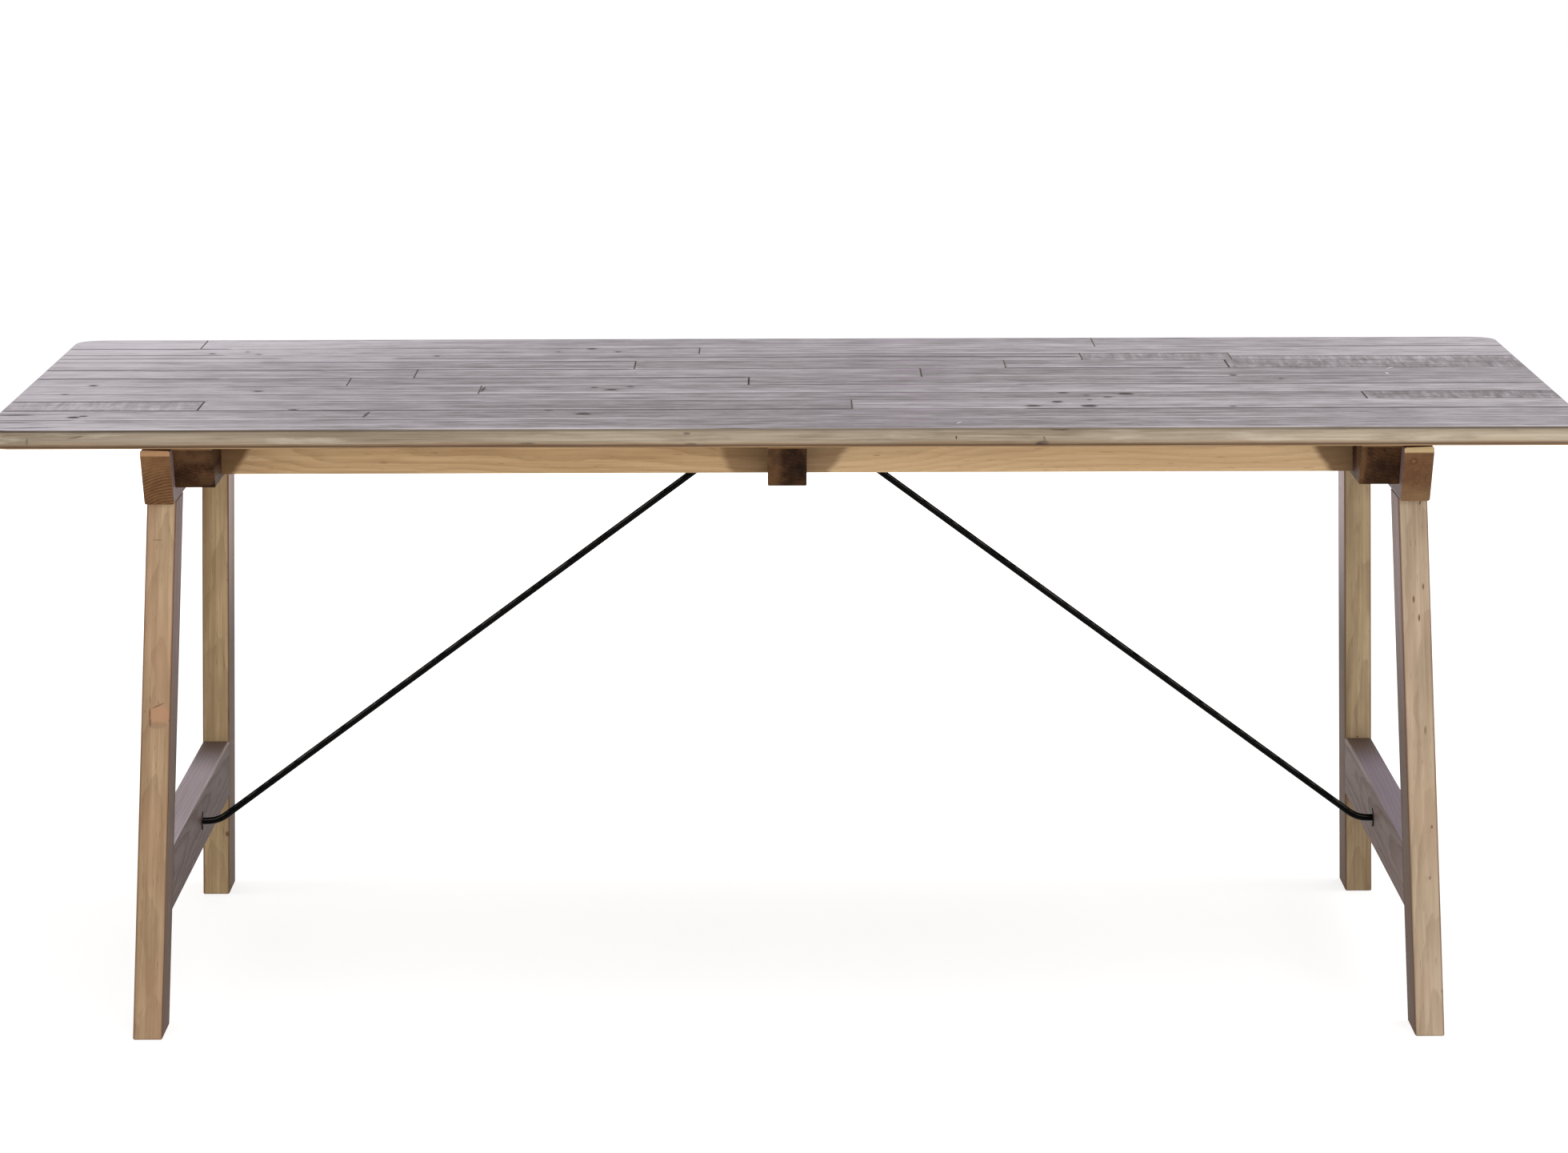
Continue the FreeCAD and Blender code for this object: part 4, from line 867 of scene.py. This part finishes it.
# marks of the faces that look to the front: the middle and the half size of each, its turn
# and its darkness
LEG_MARKS = {
    "leg_front_left": [
        ((-0.7935, 0.6232), (0.0080, 0.0012), 0, 0.45), ((-0.8039, 0.4065), (0.0014, 0.0090), 0, 0.9),
        ((-0.8034, 0.3960), (0.0015, 0.0070), 0, 0.9), ((-0.7933, 0.4168), (0.0110, 0.0013), 23, 0.7),
        ((-0.7930, 0.4205), (0.0011, 0.0035), 0, 0.5), ((-0.7779, 0.3984), (0.0024, 0.0026), 0, 0.9),
        ((-0.8035, 0.4240), (0.0018, 0.0070), 0, 0.35), ((-0.8101, 0.4094), (0.0011, 0.0015), 0, 0.5),
        ((-0.7941, 0.3925), (0.0150, 0.0060), 0, 0.25),
    ],
    "leg_front_right": [
        ((0.8010, 0.5607), (0.0018, 0.0050), 0, 0.8), ((0.7889, 0.5448), (0.0018, 0.0060), 0, 0.9),
        ((0.7958, 0.5217), (0.0018, 0.0060), 0, 0.9), ((0.7973, 0.6655), (0.0013, 0.0045), -15, 0.9),
        ((0.8033, 0.3815), (0.0020, 0.0070), 0, 0.6), ((0.8111, 0.2612), (0.0020, 0.0030), 0, 0.8),
        ((0.8085, 0.1974), (0.0022, 0.0030), 0, 0.6), ((0.8240, 0.0560), (0.0020, 0.0030), 0, 0.6),
    ],
    "leg_back_left": [
        ((-0.7896, 0.0896), (0.0040, 0.0050), 0, 0.9), ((-0.7824, 0.2630), (0.0018, 0.0180), 0, 0.6),
        ((-0.7760, 0.4603), (0.0030, 0.0030), 0, 0.6),
    ],
    "leg_back_right": [((0.8006, 0.2282), (0.0020, 0.0015), 0, 0.9)],
}
# a rose stain on the left leg at the front, and a dent in the side of the right leg at the
# back: the middle and the half size of each
ROSE_PLACE = (-0.791, 0.4060)
ROSE_HALF = (0.018, 0.0150)
DENT = (0.3607, 0.5789)
DENT_HALF = (0.004, 0.005)
print(sum(len(marks) for marks in LEG_MARKS.values()), "marks on", len(LEG_TONES), "legs")

# %% [markdown]
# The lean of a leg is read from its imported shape: the middles of a slice near the floor and
# of one near the head beam give a line.

# %% The line of a leg
FOOT_SLICE = (-0.01, 0.03)
HEAD_SLICE = (0.60, 0.675)


def leg_line(name):
    """Where the middle line of a leg meets the floor, and how far it moves per metre of height."""
    points = [vertex.co for vertex in nodes[name].data.vertices]
    ends = []
    for bottom, top in (FOOT_SLICE, HEAD_SLICE):
        group = [p for p in points if bottom < p.z < top]
        low = Vector([min(p[axis] for p in group) for axis in range(3)])
        high = Vector([max(p[axis] for p in group) for axis in range(3)])
        ends.append((low + high) / 2)
    slope = (ends[1] - ends[0]) / (ends[1].z - ends[0].z)
    return ends[0] - slope * ends[0].z, slope


leg_lines = {name: leg_line(name) for name in LEG_TONES}
for name, (foot, slope) in leg_lines.items():
    print(name, "leans", round(slope.x, 4), "and splays", round(slope.y, 4))

# %% [markdown]
# A leg has two finishes, the tan one with its marks and the grey of the side that looks in,
# which is painted shade, and along its arrises a dark line, where hands and dust went past.

# %% Legs
LEG_SEED = 71
LEG_HALF_WIDTH = 0.04275
LEG_HALF_THICKNESS = 0.0185

for seed, (name, (dark, pale, blush)) in enumerate(LEG_TONES.items()):
    leg = Timber(name, LEG_SEED + seed, upright(*leg_lines[name]), heart=(0.004, 0.052), ring=0.0042,
                 taper=0.024)
    # painted shade: the back legs darker near the floor, the front legs about half way up
    if name.startswith("leg_back"):        # darker near the floor
        shade_by_height = leg.z.step(0.30, 0.20) * -0.05
    else:                                  # darker about half way up
        shade_by_height = leg.z.step(0.62, 0.42) * leg.z.step(0.15, 0.30) * -0.12
    colour = leg.wood(dark, pale, PINE_LINE, rings=0.24, level=shade_by_height + 0.46, clouds=1.4)
    colour = leg.tint(colour, blush, 0.35, seed + 3.0, long=5.0, fine=22.0)
    colour = leg.tint(colour, dark, 0.45, seed + 8.0, long=7.0, fine=40.0)
    colour = leg.flecks(colour, PINE_LINE, 0.4)
    # what shows from the front
    front = leg.north.step(-0.4, -0.8)
    if name == "leg_front_left":
        patch = leg.spot(leg.x, leg.z, ROSE_PLACE, ROSE_HALF, front)
        colour = leg.blend(patch * 0.75, colour, ROSE)
    for middle, half, turn, darkness in LEG_MARKS[name]:
        mark = leg.spot(leg.x, leg.z, middle, half, front, turn)
        colour = leg.blend(mark * darkness, colour, PINE_LINE)
    # the side that looks in, painted grey for its shade, paler high up
    height = leg.z.step(0.34, 0.64)
    greys = [leg.blend(height, low, high) for low, high in zip(SIDE_SHADE_LOW, SIDE_SHADE_HIGH[name])]
    grey = leg.wood(*greys, SIDE_SHADE_LOW[0], rings=0.1, level=0.58)
    if name == "leg_back_right":
        grey = leg.blend(leg.spot(leg.y, leg.z, DENT, DENT_HALF) * 0.7, grey, PINE_LINE)
    inside = (leg.east * inward(name)).step(0.55, 0.95)
    colour = leg.blend(inside * 0.94, colour, grey)
    # the line along each arris
    edge = leg.arris(LEG_HALF_THICKNESS, LEG_HALF_WIDTH).step(0.0030, 0.0008)
    edge = edge * (leg.broom * 1.1 + 0.25)
    colour = leg.blend((edge * 0.8).both(0.9), colour, ARRIS_LINE)
    dress(name, leg.done(colour, gloss=0.05))
print(len(LEG_TONES), "legs aged")

# %% [markdown]
# The stretchers lie low, and are dark and grey, above all on the side that looks in.  Their
# upper faces are painted lavender for the light that they catch, with a painted shadow of the
# back leg, their inner arris is rubbed to bare wood, and a drying crack runs up from each rod.

# %% Stretchers
STRETCHER_TONES = {
    "stretcher_left": (paint(60, 43, 38), paint(90, 72, 67), paint(204, 193, 204)),
    "stretcher_right": (paint(88, 71, 65), paint(116, 97, 90), paint(158, 147, 163)),
}
BACK_LEG_SHADOW = paint(86, 67, 44)
WORN_DARK = paint(112, 90, 72)
WORN_PALE = paint(160, 136, 112)
RUBBED = paint(204, 190, 182)
CRACK = paint(34, 24, 20)
STRETCHER_SEED = 81
# cracks and a spot of the inner sides, by width and height, in the way of the leg marks
STRETCHER_MARKS = {
    "stretcher_left": [((0.088, 0.2020), (0.029, 0.0018), 34, 0.75)],
    "stretcher_right": [
        ((0.064, 0.2055), (0.041, 0.0018), 15, 0.75), ((-0.240, 0.2015), (0.006, 0.003), 0, 0.7),
        ((0.366, 0.1435), (0.020, 0.0018), 7, 0.7),
    ],
}

for seed, (name, (dark, pale, lavender)) in enumerate(STRETCHER_TONES.items()):
    middle, half = middle_and_half(name)
    bar = Timber(name, STRETCHER_SEED + seed, on_edge(middle), heart=(0.01, 0.06), ring=0.005,
                 taper=0.02)
    colour = bar.wood(dark, pale, dark, rings=0.12, clouds=1.3)
    colour = bar.flecks(colour, dark, 0.6)
    # the upper faces, painted lavender for the light that they catch, with a painted shadow of the
    # back leg towards the back
    upper = bar.wood(bar.blend(0.5, pale, lavender), lavender, pale, rings=0.08, level=0.7)
    upper = bar.blend(bar.y.step(0.10, 0.34) * 0.85, upper, BACK_LEG_SHADOW)
    colour = bar.blend(bar.up.step(0.4, 0.9), colour, upper)
    # the outer side, tan as the legs are
    inner = bar.east * inward(name)
    outside = bar.wood(WORN_DARK, WORN_PALE, PINE_LINE, rings=0.2, clouds=1.3)
    colour = bar.blend(inner.step(-0.4, -0.8) * 0.85, colour, outside)
    # the arris between the upper and the inner side
    rim = ((bar.x - middle.x) * inward(name) - half.x).step(-0.0040, -0.0015)
    rim = rim * (bar.z - middle.z - half.z).step(-0.0045, -0.0015)
    colour = bar.blend(rim * bar.y.step(-0.3, 0.1) * bar.broom * 0.7, colour, RUBBED)
    inside = inner.step(0.4, 0.8)
    for place, reach, turn, darkness in STRETCHER_MARKS[name]:
        mark = bar.spot(bar.y, bar.z, place, reach, inside, turn)
        colour = bar.blend(mark * darkness, colour, CRACK)
    dress(name, bar.done(colour, gloss=0.05))
print(len(STRETCHER_TONES), "stretchers greyed")

# %% [markdown]
# The rods, their discs and the washers and nuts at their ends are steel with a thin satin
# black coat, and dust with a painted highlight lies on their slopes.  Bolts and screws are
# zinc plated, which is grey with a faint bloom.

# %% Steel
DUST_AND_HIGHLIGHT = paint(96, 92, 88)
GRIT_DEPTH = 0.0001


def coated_steel(name, colour, bloom, roughness, gloss, metallic, dust_and_highlight):
    """The finish of steel from its colour to its bloom, with as much dust and painted highlight as
    asked for.
    """
    finish = Finish(name)
    cloud = finish.noise(finish.scaled(finish.place, 60), detail=4)
    grit = finish.noise(finish.scaled(finish.place, 900), detail=2)
    worn = finish.blend((cloud * 0.6 + grit * 0.4).step(0.35, 0.75), colour, bloom)
    # dust and a painted highlight on the slopes that face partly up
    up = finish.axes(finish.facing)[2]
    slope = up.step(0.30, 0.42) * up.step(0.66, 0.54) * cloud.step(0.35, 0.6)
    worn = finish.blend(slope * dust_and_highlight, worn, DUST_AND_HIGHLIGHT)
    finish.surface(worn, cloud * 0.2 + grit * 0.1 + roughness, gloss, metallic)
    finish.bump(grit * 0.6 + cloud * 0.4, GRIT_DEPTH)
    return finish.material


black = coated_steel("black_steel", paint(4, 4, 4), paint(9, 8, 8),
                     roughness=0.3, gloss=0.03, metallic=0.0, dust_and_highlight=0.55)
zinc = coated_steel("zinc_steel", paint(176, 176, 172), paint(150, 150, 148),
                    roughness=0.2, gloss=0.5, metallic=1.0, dust_and_highlight=0.0)
for name in nodes:
    if name.startswith(("brace_rod", "rod_")):
        dress(name, black)
    elif name.startswith(("trestle_", "plank_screws")):
        dress(name, zinc)
print("steel coated")
